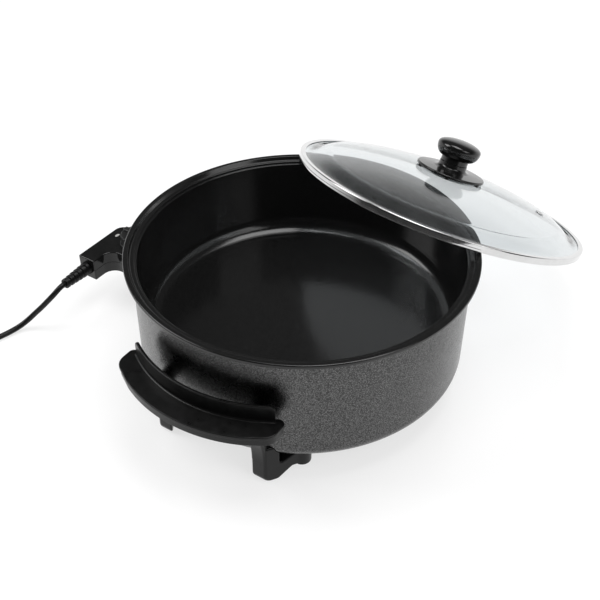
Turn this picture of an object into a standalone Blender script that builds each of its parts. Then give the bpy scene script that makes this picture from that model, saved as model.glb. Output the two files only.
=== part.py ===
"""Deep round electric skillet: a non-stick pan in a painted casing on two
handles with legs, a loose domed glass lid tipped over the rear of the rim,
and a plug-in thermostat with its mains cord.

Metres, +Z up. The front handle points to -Y, the rear one to +Y and the
thermostat socket to -X. Heights are counted from the surface that the legs
stand on. Everything hangs under the empty "skillet", which moves the pan's
axis so that the origin lies under the middle of the whole object.
"""

import math

import bmesh
import bpy
from mathutils import Matrix, Vector

MM = 0.001

# Fits shared by every piece
SEAT_GAP = 0.3 * MM          # between faces that touch
OVERRUN = 6 * MM             # how far a cutting tool runs past what it cuts

# Facets
LARGE_SEGMENTS = 48          # pan, casing and lid
KNOB_SEGMENTS = 24
SMALL_SEGMENTS = 12
SCREW_SEGMENTS = 8
FILLET_STEPS = 4
CORNER_STEPS = 3

# Where the pan's axis stands from the middle of the whole object
PAN_AXIS_X = 29.5 * MM
PAN_AXIS_Y = -85.3 * MM

# Pan: one cast bowl whose rim carries the lid
RIM_RADIUS = 200 * MM
RIM_FLAT = 6 * MM            # flat top of the rim
RIM_EDGE_ROUND = 1.5 * MM
RIM_LIP_HEIGHT = 5 * MM      # outer face of the rim
RIM_ROOT_DROP = 1 * MM       # the rim thickens by this at the wall
LIP_OVERHANG = 9 * MM        # rim beyond the casing
STEP_DEPTH = 4.2 * MM        # step that holds the lid
STEP_RUN = 2.2 * MM
LOWER_STEP_DEPTH = 2.8 * MM
LOWER_STEP_RUN = 0.8 * MM
LOWER_LEDGE = 1.8 * MM
PAN_WALL = 4 * MM
PAN_FLOOR = 4 * MM
PAN_DEPTH = 103 * MM         # rim top to cooking floor
PAN_DRAFT = 1.7 * MM
PAN_FILLET = 20 * MM
PAN_BOSS_RADIUS = 10 * MM
PAN_BOSS_HEIGHT = 9 * MM

# Casing: pressed cup that hides the element, finished in hammered paint
CASING_HEIGHT = 145 * MM     # rim top to its underside
CASING_WALL = 1.5 * MM
CASING_FILLET = 18 * MM
FOOT_HEIGHT = 33.5 * MM      # surface to the casing's underside
TIE_BOLT_RADIUS = 3 * MM
TIE_HOLE_RADIUS = 3.4 * MM
TIE_HEAD_RADIUS = 7 * MM
TIE_HEAD_HEIGHT = 4 * MM
TIE_ENGAGEMENT = 7 * MM      # thread length in the pan's boss

# Heating element under the pan
ELEMENT_RADIUS = 4 * MM
ELEMENT_INSET = 71 * MM      # casing's wall to the ring's centreline
ELEMENT_GAP_ANGLE = 22       # degrees left open each side of the socket
ELEMENT_RING_STEPS = 30
ELEMENT_BEND_STEPS = 4
ELEMENT_LEAD_RUN = 22 * MM   # straight run before each terminal
CLIP_THICKNESS = 1.5 * MM
CLIP_CLEARANCE = 0.6 * MM
CLIP_WIDTH = 12 * MM
CLIP_FOOT = 9 * MM
CLIP_COUNT = 3
CLIP_ARCH_STEPS = 6

# Socket on the casing, open to -X
SOCKET_DROP = 120 * MM       # rim top to the axis of its pins
SOCKET_WIDTH = 58 * MM
SOCKET_HEIGHT = 34 * MM
SOCKET_WALL = 2.5 * MM
SOCKET_BACK = 3 * MM
SOCKET_CORNER = 6 * MM
SOCKET_INSIDE = 8 * MM       # reach inside the casing's wall line
SOCKET_OUTSIDE = 22 * MM     # reach outside it
FLANGE_WIDTH = 78 * MM
FLANGE_HEIGHT = 42 * MM
FLANGE_THICKNESS = 2.5 * MM
FLANGE_CORNER = 8 * MM
SOCKET_SCREW_INSET = 5 * MM
PIN_RADIUS = 2.5 * MM
PIN_HALF_SPACING = 15 * MM
PIN_REACH = 16 * MM          # pin beyond the socket's back plate
PIN_TIP = 1 * MM
PROBE_WELL_HALF_WIDTH = 7 * MM   # cast pocket under the pan for the probe
PROBE_WELL_WALL = 3 * MM
PROBE_WELL_LENGTH = 46 * MM
PROBE_WELL_INSET = 19 * MM   # casing's wall to its open end

# Handles: two alike, each with a shelf, an upright guard and two legs
FRONT_ANGLE = -90            # degrees from +X to the handle's axis in plan
SHELF_DROP = 69.5 * MM       # rim top to the shelf's top
SHELF_OUT = 50 * MM          # casing's wall to the shelf's outermost edge
SHELF_ARC = 171 * MM
SHELF_HALF_LENGTH = 101 * MM
SHELF_LIP = 4 * MM
SHELF_SKIRT = 8.5 * MM
SHELF_SKIRT_INSET = 1.2 * MM
SHELF_WALL = 3 * MM
SHELF_ROOF = 3.5 * MM
SHELF_EDGE = 1 * MM
SHELF_OUTER_CORNER = 18 * MM
SHELF_INNER_CORNER = 7 * MM
SHELF_ARC_STEPS = 14
RIB_THICKNESS = 2 * MM
RIB_SHARES = (-0.36, 0.0, 0.36)
GUARD_OUT = 25 * MM          # casing's wall to the guard's outer face
GUARD_ARC = 165 * MM
GUARD_THICKNESS = 4 * MM
GUARD_HEIGHT = 20.5 * MM
GUARD_HALF_LENGTH = 92.5 * MM
GUARD_CORNER = 7 * MM
GUARD_FILLET = 2.5 * MM
GUARD_STEPS = 20
LEG_INNER = 59 * MM          # half the gap between a handle's legs
LEG_PROUD = 0.3 * MM         # legs beyond the casing's wall at their inner faces
LEG_WIDTH = 13 * MM
LEG_DEPTH = 18 * MM
LEG_CORNER = 6 * MM
LEG_SOLE = 16 * MM
STRUT_RISE_SHARE = 0.82      # slope of the strut's underside
STRUT_TOP_RISE_SHARE = 0.5   # slope of its top
STRUT_TOP_START = 24.5 * MM
STRUT_SIDE_SHARE = 0.8       # of the boss's radius, where the strut's side meets it
BRACKET_TOP_INSET = 16 * MM  # from the shelf's outermost edge
BRACKET_TOP_DEPTH = 12 * MM
BRACKET_KNEE_DROP = 5 * MM   # below the casing's underside
BRACKET_STEPS = 6
HANDLE_WALL_GAP = 0.6 * MM
BOSS_INSET = 22 * MM         # casing's wall line to each boss's axis
BOSS_SIDE = 93 * MM          # to each side of the handle's axis
BOSS_RADIUS = 10.5 * MM
BOSS_HEIGHT = 20 * MM
BOSS_RECESS_RADIUS = 6 * MM
BOSS_WEB = 6 * MM            # material above the screw's head
SCREW_RADIUS = 2 * MM
SCREW_HOLE_RADIUS = 2.5 * MM
SCREW_HEAD_RADIUS = 4.5 * MM
SCREW_HEAD_HEIGHT = 3 * MM
NUT_RADIUS = 4 * MM
NUT_HEIGHT = 4 * MM

# Lid: domed glass in a steel band
LID_CLEARANCE = 1.8 * MM     # between the band and the rim's step
BAND_THICKNESS = 1 * MM
BAND_BEAD = 3.4 * MM         # rolled lower edge, under the glass
BAND_LIP = 6.5 * MM
BAND_EDGE = 0.6 * MM
GLASS_THICKNESS = 4 * MM
GLASS_FLANGE = 8.5 * MM
GLASS_SHOULDER_RUN = 8 * MM
GLASS_SHOULDER_RISE = 6.8 * MM
GLASS_DOME_RISE = 23.4 * MM
GLASS_DOME_STEPS = 4
GLASS_HOLE_RADIUS = 4.2 * MM
VENT_RING = 128 * MM         # lid axis to the vent
VENT_ANGLE = -48             # degrees from the downhill direction
VENT_HOLE_RADIUS = 3.6 * MM
VENT_FLANGE_RADIUS = 6 * MM
VENT_FLANGE_THICKNESS = 0.8 * MM
VENT_BORE_RADIUS = 2 * MM
LID_AZIMUTH = 76.0           # degrees from +X to the side it slopes down to
LID_TILT = 24.3
LID_SHIFT = 41.2 * MM        # rim's edge to the lid's axis

# Knob on the lid
GASKET_RADIUS = 34 * MM
GASKET_THICKNESS = 1.2 * MM
KNOB_BASE_RADIUS = 44.5 * MM
KNOB_BASE_EDGE = 3.6 * MM
KNOB_BASE_EDGE_ROUND = 1 * MM
KNOB_BASE_CONE_RADIUS = 23 * MM
KNOB_BASE_CONE_RISE = 3 * MM
KNOB_STEM_RADIUS = 18 * MM
KNOB_STEM_HEIGHT = 6.6 * MM    # stem of the base above its cone
KNOB_NECK_RADIUS = 17.5 * MM
KNOB_NECK_HEIGHT = 6 * MM
KNOB_HEAD_RADIUS = 28 * MM
KNOB_HEAD_RISE = 13.5 * MM     # neck to widest ring
KNOB_HEAD_TOP = 9.5 * MM     # widest ring to crown
KNOB_HEAD_STEPS = 5
KNOB_FOOT_COUNT = 6
KNOB_FOOT_RADIUS = 2.6 * MM
KNOB_FOOT_INSET = 1.4 * MM
KNOB_FOOT_HEIGHT = 1.8 * MM
KNOB_SCREW_RADIUS = 3 * MM
KNOB_SCREW_REACH = 15 * MM   # thread above the glass
WASHER_RADIUS = 22 * MM
WASHER_THICKNESS = 2 * MM
KNOB_SCREW_HEAD_RADIUS = 6 * MM
KNOB_SCREW_HEAD_HEIGHT = 3 * MM

# Thermostat: an L-shaped housing whose head plugs into the socket
HOUSING_HALF_HEIGHT = 15 * MM
HOUSING_LENGTH = 93.2 * MM   # head's face on the socket to its outer side
HEAD_HALF_WIDTH = 27 * MM
HEAD_SIDE = 25 * MM          # head's side that faces the cord
HEAD_START_GAP = 0.8 * MM    # between the socket's mouth and the head
HEAD_CORNER = 13 * MM
TAIL_WIDTH = 26 * MM
TAIL_END = 56 * MM           # pan's X axis to the tail's end
TAIL_CORNER = 1.5 * MM
TAIL_INNER_FILLET = 16 * MM
HOUSING_CHAMFER = 1.2 * MM
NOSE_CLEARANCE = 0.8 * MM
NOSE_REACH = 24 * MM         # nose inside the socket
NOSE_CORNER = 4 * MM
SLEEVE_LENGTH = 16 * MM
SLEEVE_WALL = 1.2 * MM
PROBE_RADIUS = 3 * MM
PROBE_TIP_ROUND = 1.5 * MM
PROBE_REACH = 40 * MM        # beyond the nose
PROBE_ROOT = 10 * MM         # inside the nose
PROBE_CLEARANCE = 1 * MM
HOUSING_SCREW_RADIUS = 1.6 * MM
HOUSING_SCREW_HEAD_RADIUS = 3.2 * MM
HOUSING_SCREW_HEAD_HEIGHT = 2 * MM
HOUSING_SCREW_DEPTH = 10 * MM
HOUSING_SCREW_INSET = 8 * MM
LENS_LENGTH = 7 * MM
LENS_WIDTH = 4 * MM
LENS_DEPTH = 3 * MM
LENS_PROUD = 0.5 * MM
LENS_SIDE = 5 * MM
LENS_INSET = 12 * MM         # from the housing's outer side
DIAL_INSET = 44 * MM         # housing's outer side to the dial's axis
DIAL_AXIS_SIDE = 5 * MM
DIAL_RADIUS = 20 * MM
DIAL_SKIRT_HEIGHT = 3 * MM
DIAL_DRUM_RADIUS = 18.6 * MM
DIAL_DRUM_HEIGHT = 12 * MM
DIAL_GRIP_HALF_WIDTH = 4 * MM
DIAL_GRIP_HEIGHT = 2.5 * MM
DIAL_FLUTE_COUNT = 18
DIAL_FLUTE_DEPTH = 0.8 * MM
DIAL_SHAFT_RADIUS = 3 * MM
DIAL_SHAFT_DEPTH = 9 * MM
DIAL_SHAFT_GRIP = 5 * MM     # length inside the dial
DIAL_SHAFT_CLEARANCE = 0.4 * MM

# Cord, strain relief and plug
CORD_RADIUS = 3.5 * MM
BOOT_ROOT_RADIUS = 8.2 * MM
BOOT_END_RADIUS = 5.4 * MM
BOOT_RIB_PROUD = 1.1 * MM
BOOT_RIB_COUNT = 4
BOOT_RIB_LENGTH = 3.4 * MM
BOOT_GROOVE_LENGTH = 3.6 * MM
BOOT_COLLAR_LENGTH = 10 * MM
BOOT_TIP_FLANGE_RADIUS = 6.8 * MM
BOOT_TIP_FLANGE = 3 * MM
COIL_OUTWARDS = 104 * MM     # coil's centre outwards of the boot's axis
COIL_BEYOND = 134.4 * MM     # coil's centre beyond the boot's end
COIL_OUTER_RADIUS = 46 * MM
COIL_LOOP_PITCH = 7.8 * MM
COIL_LAYER_COUNT = 2         # loops side by side in each layer
COIL_LOOP_STEPS = 24
COIL_ENTRY_ANGLE = -12       # degrees, where the cord joins the outer loop
COIL_EXIT_TURN = 32          # degrees past a whole number of loops
COIL_LAYER_PITCH = 7.7 * MM
# Cord route from the boot to the coil, chosen by hand: how far each point lies
# outwards of the boot's axis and beyond its end, and its height
CORD_ROUTE = [
    (0 * MM, 9.4 * MM, 58 * MM),
    (2 * MM, 14.4 * MM, 54 * MM),
    (9 * MM, 21.4 * MM, 44 * MM),
    (18 * MM, 28.4 * MM, 32 * MM),
    (28 * MM, 35.4 * MM, 20 * MM),
    (36 * MM, 44.4 * MM, 10 * MM),
    (42 * MM, 57.4 * MM, 4.8 * MM),
    (47 * MM, 74.4 * MM, 3.7 * MM),
    (52 * MM, 91.4 * MM, 3.7 * MM),
]
CORD_FILL_STEPS = 8
PLUG_LEAD = 30 * MM          # free cord between the coil and the plug
PLUG_AXIS_HEIGHT = 18.5 * MM
PLUG_FACE_RADIUS = 18 * MM
PLUG_FACE_LENGTH = 17 * MM
PLUG_NECK_RADIUS = 9 * MM
PLUG_NECK_LENGTH = 14 * MM
PLUG_TAIL_RADIUS = 6.5 * MM
PLUG_TAIL_LENGTH = 12 * MM
PLUG_EDGE = 1.5 * MM
PLUG_PIN_RADIUS = 2.4 * MM
PLUG_PIN_LENGTH = 19 * MM
PLUG_PIN_ROOT = 6 * MM
PLUG_PIN_HALF_SPACING = 9.5 * MM
PLUG_CLIP_WIDTH = 5 * MM
PLUG_CLIP_THICKNESS = 1 * MM
PLUG_CLIP_LENGTH = 15 * MM
PLUG_SLOT_DEPTH = 1.6 * MM

# Heights and radii that follow from the values above
RIM_TOP = FOOT_HEIGHT + CASING_HEIGHT
CASING_BOTTOM = FOOT_HEIGHT
CASING_RADIUS = RIM_RADIUS - LIP_OVERHANG
PAN_OUTER_RADIUS = CASING_RADIUS - CASING_WALL - SEAT_GAP
PAN_INNER_RADIUS = PAN_OUTER_RADIUS - PAN_WALL
FLOOR_TOP = RIM_TOP - PAN_DEPTH
PAN_UNDERSIDE = FLOOR_TOP - PAN_FLOOR
RIM_UNDERSIDE = RIM_TOP - RIM_LIP_HEIGHT - RIM_ROOT_DROP
STEP_TOP_RADIUS = RIM_RADIUS - RIM_FLAT
STEP_FOOT_RADIUS = STEP_TOP_RADIUS - STEP_RUN
LID_RADIUS = STEP_FOOT_RADIUS - LID_CLEARANCE
LID_OFFSET = RIM_RADIUS + LID_SHIFT
ELEMENT_RING_RADIUS = CASING_RADIUS - ELEMENT_INSET
PROBE_WELL_START = CASING_RADIUS - PROBE_WELL_INSET
SOCKET_AXIS = RIM_TOP - SOCKET_DROP
SOCKET_BACK_X = -(CASING_RADIUS - SOCKET_INSIDE)
SOCKET_MOUTH_X = -(CASING_RADIUS + SOCKET_OUTSIDE)
SHELF_TOP = RIM_TOP - SHELF_DROP
SHELF_REACH = CASING_RADIUS + SHELF_OUT
GUARD_REACH = CASING_RADIUS + GUARD_OUT
LEG_REACH = math.sqrt(CASING_RADIUS ** 2 - LEG_INNER ** 2) + LEG_PROUD
BOSS_REACH = math.sqrt((CASING_RADIUS - BOSS_INSET) ** 2 - BOSS_SIDE ** 2)
BRACKET_TOP_REACH = SHELF_REACH - BRACKET_TOP_INSET
HEAD_START_X = SOCKET_MOUTH_X - HEAD_START_GAP
HOUSING_REACH = HOUSING_LENGTH - HEAD_START_X
HOUSING_TOP = SOCKET_AXIS + HOUSING_HALF_HEIGHT
HOUSING_BOTTOM = SOCKET_AXIS - HOUSING_HALF_HEIGHT
DIAL_AXIS_REACH = HOUSING_REACH - DIAL_INSET
BOOT_AXIS_REACH = HOUSING_REACH - TAIL_WIDTH / 2
SLEEVE_BORE = PIN_RADIUS + SEAT_GAP
SLEEVE_RADIUS = SLEEVE_BORE + SLEEVE_WALL


# Outline helpers

def arc(centre, radius, start, end, steps):
    """Points on an arc, angles in degrees, both ends included."""
    points = []
    for i in range(steps + 1):
        angle = math.radians(start + (end - start) * i / steps)
        points.append((centre[0] + radius * math.cos(angle),
                       centre[1] + radius * math.sin(angle)))
    return points


def rounded(corners, steps=CORNER_STEPS):
    """Outline through (x, y, radius) corners, each rounded by its radius."""
    outline = []
    count = len(corners)
    for i, (x, y, radius) in enumerate(corners):
        here = Vector((x, y))
        if radius <= 0:
            outline.append((x, y))
            continue
        before = Vector(corners[i - 1][:2]) - here
        after = Vector(corners[(i + 1) % count][:2]) - here
        half = before.angle(after) / 2
        reach = min(radius / math.tan(half), before.length / 2, after.length / 2)
        used = reach * math.tan(half)
        bisector = (before.normalized() + after.normalized()).normalized()
        centre = here + bisector * (used / math.sin(half))
        first = here + before.normalized() * reach - centre
        sweep = first.angle_signed(here + after.normalized() * reach - centre)
        for step in range(steps + 1):
            turn = -sweep * step / steps
            point = centre + Matrix.Rotation(turn, 2) @ first
            outline.append((point.x, point.y))
    return outline


def rounded_box(half_x, half_y, radius, steps=CORNER_STEPS):
    """Rounded rectangle about the origin."""
    return rounded([(half_x, -half_y, radius), (half_x, half_y, radius),
                    (-half_x, half_y, radius), (-half_x, -half_y, radius)], steps)


def inset(outline, distance):
    """Outline moved inwards by a distance, for a counter-clockwise outline."""
    moved = []
    count = len(outline)
    for i in range(count):
        here = Vector(outline[i])
        along_in = (here - Vector(outline[i - 1])).normalized()
        along_out = (Vector(outline[(i + 1) % count]) - here).normalized()
        normal_in = Vector((-along_in.y, along_in.x))
        normal_out = Vector((-along_out.y, along_out.x))
        middle = (normal_in + normal_out).normalized()
        moved.append(tuple(here + middle * (distance / max(middle.dot(normal_in), 0.3))))
    return moved


def smooth_route(points, steps):
    """Catmull-Rom curve through the route's points."""
    route = [Vector(p) for p in points]
    curve = []
    for i in range(len(route) - 1):
        p1, p2 = route[i], route[i + 1]
        p0 = route[i - 1] if i else p1 + (p1 - p2)
        p3 = route[i + 2] if i + 2 < len(route) else p2 + (p2 - p1)
        for step in range(steps):
            t = step / steps
            curve.append(0.5 * ((2 * p1) + (p2 - p0) * t
                                + (2 * p0 - 5 * p1 + 4 * p2 - p3) * t ** 2
                                + (3 * p1 - p0 - 3 * p2 + p3) * t ** 3))
    curve.append(route[-1])
    return curve


# Mesh helpers

def add_lathe(mesh, profile, segments, place=None):
    """Turn a closed (radius, height) profile about Z. Radius 0 is a pole."""
    place = place or Matrix()
    rings = []
    for radius, height in profile:
        if radius <= 0:
            rings.append([mesh.verts.new(place @ Vector((0, 0, height)))])
            continue
        ring = []
        for i in range(segments):
            angle = 2 * math.pi * i / segments
            ring.append(mesh.verts.new(place @ Vector(
                (radius * math.cos(angle), radius * math.sin(angle), height))))
        rings.append(ring)
    for i, ring in enumerate(rings):
        other = rings[(i + 1) % len(rings)]
        if len(ring) == 1 and len(other) == 1:
            continue
        for j in range(segments):
            k = (j + 1) % segments
            if len(ring) == 1:
                mesh.faces.new((ring[0], other[k], other[j]))
            elif len(other) == 1:
                mesh.faces.new((ring[j], ring[k], other[0]))
            else:
                mesh.faces.new((ring[j], ring[k], other[k], other[j]))


def add_prism(mesh, outline, levels, place=None):
    """Stack copies of an outline at (height, inset) levels and close them."""
    place = place or Matrix()
    rings = []
    for height, amount in levels:
        shape = inset(outline, amount) if amount else outline
        rings.append([mesh.verts.new(place @ Vector((x, y, height))) for x, y in shape])
    for lower, upper in zip(rings, rings[1:]):
        for j in range(len(outline)):
            k = (j + 1) % len(outline)
            mesh.faces.new((lower[j], lower[k], upper[k], upper[j]))
    mesh.faces.new(list(reversed(rings[0])))
    mesh.faces.new(rings[-1])


def add_skin(mesh, rings):
    """Join closed rings of points in a row and cap both ends."""
    loops = [[mesh.verts.new(p) for p in ring] for ring in rings]
    for near, far in zip(loops, loops[1:]):
        for j in range(len(near)):
            k = (j + 1) % len(near)
            mesh.faces.new((near[j], near[k], far[k], far[j]))
    mesh.faces.new(list(reversed(loops[0])))
    mesh.faces.new(loops[-1])


def finish(name, mesh, material, parent, smooth_angle=35):
    """Turn a bmesh into a named object under its parent."""
    bmesh.ops.recalc_face_normals(mesh, faces=mesh.faces)
    data = bpy.data.meshes.new(name)
    mesh.to_mesh(data)
    mesh.free()
    data.shade_smooth()
    data.set_sharp_from_angle(angle=math.radians(smooth_angle))
    thing = bpy.data.objects.new(name, data)
    bpy.context.scene.collection.objects.link(thing)
    if material:
        data.materials.append(material)
    thing.parent = parent
    return thing


def turned(name, profile, segments, material, parent, place=None):
    mesh = bmesh.new()
    add_lathe(mesh, profile, segments, place)
    return finish(name, mesh, material, parent)


def extruded(name, outline, levels, material, parent, place=None):
    mesh = bmesh.new()
    add_prism(mesh, outline, levels, place)
    return finish(name, mesh, material, parent)


def tube(name, points, radius, resolution, material, parent):
    """Curve of one open poly line with a round section and closed ends."""
    curve = bpy.data.curves.new(name, "CURVE")
    curve.dimensions = "3D"
    curve.bevel_depth = radius
    curve.bevel_resolution = resolution
    curve.use_fill_caps = True
    line = curve.splines.new("POLY")
    line.points.add(len(points) - 1)
    for target, point in zip(line.points, points):
        target.co = (*point, 1)
    thing = bpy.data.objects.new(name, curve)
    bpy.context.scene.collection.objects.link(thing)
    curve.materials.append(material)
    thing.parent = parent
    return thing


def as_tool(thing):
    thing.hide_render = True
    thing.display_type = "WIRE"
    return thing


def combine(target, tool, operation):
    """Boolean with a hidden tool."""
    modifier = target.modifiers.new(tool.name, "BOOLEAN")
    modifier.operation = operation
    modifier.solver = "EXACT"
    modifier.object = as_tool(tool)


def group(name, parent, location=(0, 0, 0), rotation=(0, 0, 0)):
    empty = bpy.data.objects.new(name, None)
    bpy.context.scene.collection.objects.link(empty)
    empty.parent = parent
    empty.location = location
    empty.rotation_euler = rotation
    return empty


def paint(name, colour, roughness, metallic=0.0, transmission=0.0):
    material = bpy.data.materials.new(name)
    material.use_nodes = True
    shader = material.node_tree.nodes["Principled BSDF"]
    shader.inputs["Base Color"].default_value = (*colour, 1)
    shader.inputs["Roughness"].default_value = roughness
    shader.inputs["Metallic"].default_value = metallic
    shader.inputs["Transmission Weight"].default_value = transmission
    material.diffuse_color = (*colour, 1)
    return material


def towards_socket(distance, side=0.0, height=SOCKET_AXIS):
    """Place whose local Z points to -X, out of the socket."""
    return Matrix.Translation((-distance, side, height)) @ Matrix.Rotation(-math.pi / 2, 4, "Y")


def pin_profile(radius, start, end, tip):
    """Round pin from start to end with a rounded tip."""
    return [(0, start), (radius, start), (radius, end - tip), (radius - tip, end), (0, end)]


def screw_profile(radius, length, head_radius, head_height):
    """Screw with its head's seat at height 0 and its shank upwards."""
    return [(0, -head_height), (head_radius - head_height / 2, -head_height),
            (head_radius, -head_height / 2), (head_radius, 0), (radius, 0),
            (radius, length), (0, length)]


# Pan body

def make_pan(parent, material):
    floor_radius = PAN_INNER_RADIUS - PAN_DRAFT
    under_radius = PAN_OUTER_RADIUS - PAN_DRAFT
    outer_fillet = PAN_FILLET + PAN_WALL
    lower_ledge = RIM_TOP - STEP_DEPTH - LOWER_STEP_DEPTH
    ledge_edge = PAN_INNER_RADIUS + LOWER_LEDGE + LOWER_STEP_RUN
    boss_bottom = PAN_UNDERSIDE - PAN_BOSS_HEIGHT
    profile = [(0, FLOOR_TOP)]
    profile += arc((floor_radius - PAN_FILLET, FLOOR_TOP + PAN_FILLET), PAN_FILLET,
                   -90, 0, FILLET_STEPS)
    profile += [
        (PAN_INNER_RADIUS, lower_ledge - LOWER_STEP_RUN),
        (PAN_INNER_RADIUS + LOWER_STEP_RUN, lower_ledge),
        (PAN_INNER_RADIUS + LOWER_LEDGE, lower_ledge),
        (ledge_edge - LOWER_STEP_RUN / 2, RIM_TOP - STEP_DEPTH - LOWER_STEP_RUN),
        (ledge_edge, RIM_TOP - STEP_DEPTH),
        (STEP_FOOT_RADIUS, RIM_TOP - STEP_DEPTH),
        (STEP_TOP_RADIUS, RIM_TOP - RIM_EDGE_ROUND / 2),
        (STEP_TOP_RADIUS + RIM_EDGE_ROUND / 2, RIM_TOP),
    ]
    profile += arc((RIM_RADIUS - RIM_EDGE_ROUND, RIM_TOP - RIM_EDGE_ROUND), RIM_EDGE_ROUND,
                   90, 0, 3)
    profile += [
        (RIM_RADIUS, RIM_TOP - RIM_LIP_HEIGHT + RIM_EDGE_ROUND),
        (RIM_RADIUS - RIM_EDGE_ROUND, RIM_TOP - RIM_LIP_HEIGHT),
        (CASING_RADIUS + RIM_ROOT_DROP, RIM_TOP - RIM_LIP_HEIGHT),
        (CASING_RADIUS, RIM_UNDERSIDE),
        (PAN_OUTER_RADIUS, RIM_UNDERSIDE),
    ]
    profile += arc((under_radius - outer_fillet, PAN_UNDERSIDE + outer_fillet), outer_fillet,
                   0, -90, FILLET_STEPS)
    profile += [
        (PAN_BOSS_RADIUS, PAN_UNDERSIDE),
        (PAN_BOSS_RADIUS, boss_bottom),
        (TIE_HOLE_RADIUS, boss_bottom),
        (TIE_HOLE_RADIUS, boss_bottom + TIE_ENGAGEMENT + SEAT_GAP),
        (0, boss_bottom + TIE_ENGAGEMENT + SEAT_GAP),
    ]
    pan = turned("cooking_pan", profile, LARGE_SEGMENTS, material, parent)

    low = SOCKET_AXIS - PROBE_RADIUS - SEAT_GAP - PROBE_WELL_WALL
    half_height = (PAN_UNDERSIDE + PAN_FLOOR / 2 - low) / 2
    centre = low + half_height
    well = extruded("probe_well_tool",
                    rounded_box(half_height, PROBE_WELL_HALF_WIDTH, PROBE_WELL_WALL / 2),
                    [(PROBE_WELL_START - PROBE_WELL_LENGTH, 0), (PROBE_WELL_START, 0)],
                    None, parent, towards_socket(0, 0, centre))
    combine(pan, well, "UNION")
    bore = turned("probe_well_bore_tool",
                  pin_profile(PROBE_RADIUS + SEAT_GAP, PROBE_WELL_START - PROBE_WELL_LENGTH
                              + PROBE_WELL_WALL, PROBE_WELL_START + OVERRUN, SEAT_GAP),
                  SMALL_SEGMENTS, None, parent, towards_socket(0))
    combine(pan, bore, "DIFFERENCE")
    return pan


def casing_outline(clearance, bottom_clearance):
    """Outer (radius, height) outline of the casing, top to bottom."""
    radius = CASING_RADIUS + clearance
    fillet = CASING_FILLET + clearance
    return arc((radius - fillet, CASING_BOTTOM - bottom_clearance + fillet), fillet,
               0, -90, FILLET_STEPS)


def screw_places():
    """Axis of each handle screw beside the pan's axis."""
    return [(side * BOSS_SIDE, end * BOSS_REACH) for end in (-1, 1) for side in (-1, 1)]


def make_casing(parent, material):
    top = RIM_UNDERSIDE - SEAT_GAP
    profile = [(CASING_RADIUS - CASING_WALL, top), (CASING_RADIUS, top)]
    profile += casing_outline(0, 0)
    profile += [(TIE_HOLE_RADIUS, CASING_BOTTOM), (TIE_HOLE_RADIUS, CASING_BOTTOM + CASING_WALL)]
    inner = CASING_FILLET - CASING_WALL
    profile += arc((CASING_RADIUS - CASING_FILLET, CASING_BOTTOM + CASING_FILLET), inner,
                   -90, 0, FILLET_STEPS)
    casing = turned("outer_casing", profile, LARGE_SEGMENTS, material, parent)

    opening = extruded("casing_socket_tool",
                       rounded_box(SOCKET_HEIGHT / 2 + SEAT_GAP, SOCKET_WIDTH / 2 + SEAT_GAP,
                                   SOCKET_CORNER + SEAT_GAP),
                       [(-SOCKET_INSIDE - OVERRUN, 0), (OVERRUN, 0)], None, parent,
                       towards_socket(CASING_RADIUS))
    combine(casing, opening, "DIFFERENCE")

    holes = bmesh.new()
    for x, y in screw_places():
        add_lathe(holes, [(0, -OVERRUN), (SCREW_HOLE_RADIUS, -OVERRUN),
                          (SCREW_HOLE_RADIUS, OVERRUN), (0, OVERRUN)], SCREW_SEGMENTS,
                  Matrix.Translation((x, y, CASING_BOTTOM)))
    add_socket_screw_holes(holes)
    combine(casing, finish("casing_hole_tool", holes, None, parent), "DIFFERENCE")
    return casing


def make_tie_bolt(parent, material):
    seat = CASING_BOTTOM - SEAT_GAP
    length = PAN_UNDERSIDE - PAN_BOSS_HEIGHT + TIE_ENGAGEMENT - seat
    profile = screw_profile(TIE_BOLT_RADIUS, length, TIE_HEAD_RADIUS, TIE_HEAD_HEIGHT)
    return turned("tie_bolt", profile, SCREW_SEGMENTS, material, parent,
                  Matrix.Translation((0, 0, seat)))


def make_element(parent, material):
    """Open ring under the pan whose ends turn out to the socket."""
    height = PAN_UNDERSIDE - SEAT_GAP - ELEMENT_RADIUS
    end_x = SOCKET_BACK_X + SOCKET_BACK + SEAT_GAP
    start = 180 + ELEMENT_GAP_ANGLE
    ring = [(x, y, height) for x, y in
            arc((0, 0), ELEMENT_RING_RADIUS, start, start + 360 - 2 * ELEMENT_GAP_ANGLE,
                ELEMENT_RING_STEPS)]
    lead_in = [(end_x, -PIN_HALF_SPACING, SOCKET_AXIS),
               (end_x + ELEMENT_LEAD_RUN, -PIN_HALF_SPACING, SOCKET_AXIS)]
    lead_out = [(x, -y, z) for x, y, z in reversed(lead_in)]
    bend_in = smooth_route(lead_in + ring[:2], ELEMENT_BEND_STEPS)[ELEMENT_BEND_STEPS:]
    bend_out = smooth_route(ring[-2:] + lead_out, ELEMENT_BEND_STEPS)[:-ELEMENT_BEND_STEPS]
    points = [Vector(lead_in[0])] + bend_in[:-1] + [Vector(p) for p in ring[1:-1]]
    points += bend_out[1:] + [Vector(lead_out[-1])]
    for point in points:
        point.z = min(max(point.z, SOCKET_AXIS), height)
    return tube("heating_element", points, ELEMENT_RADIUS, 1, material, parent)


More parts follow.
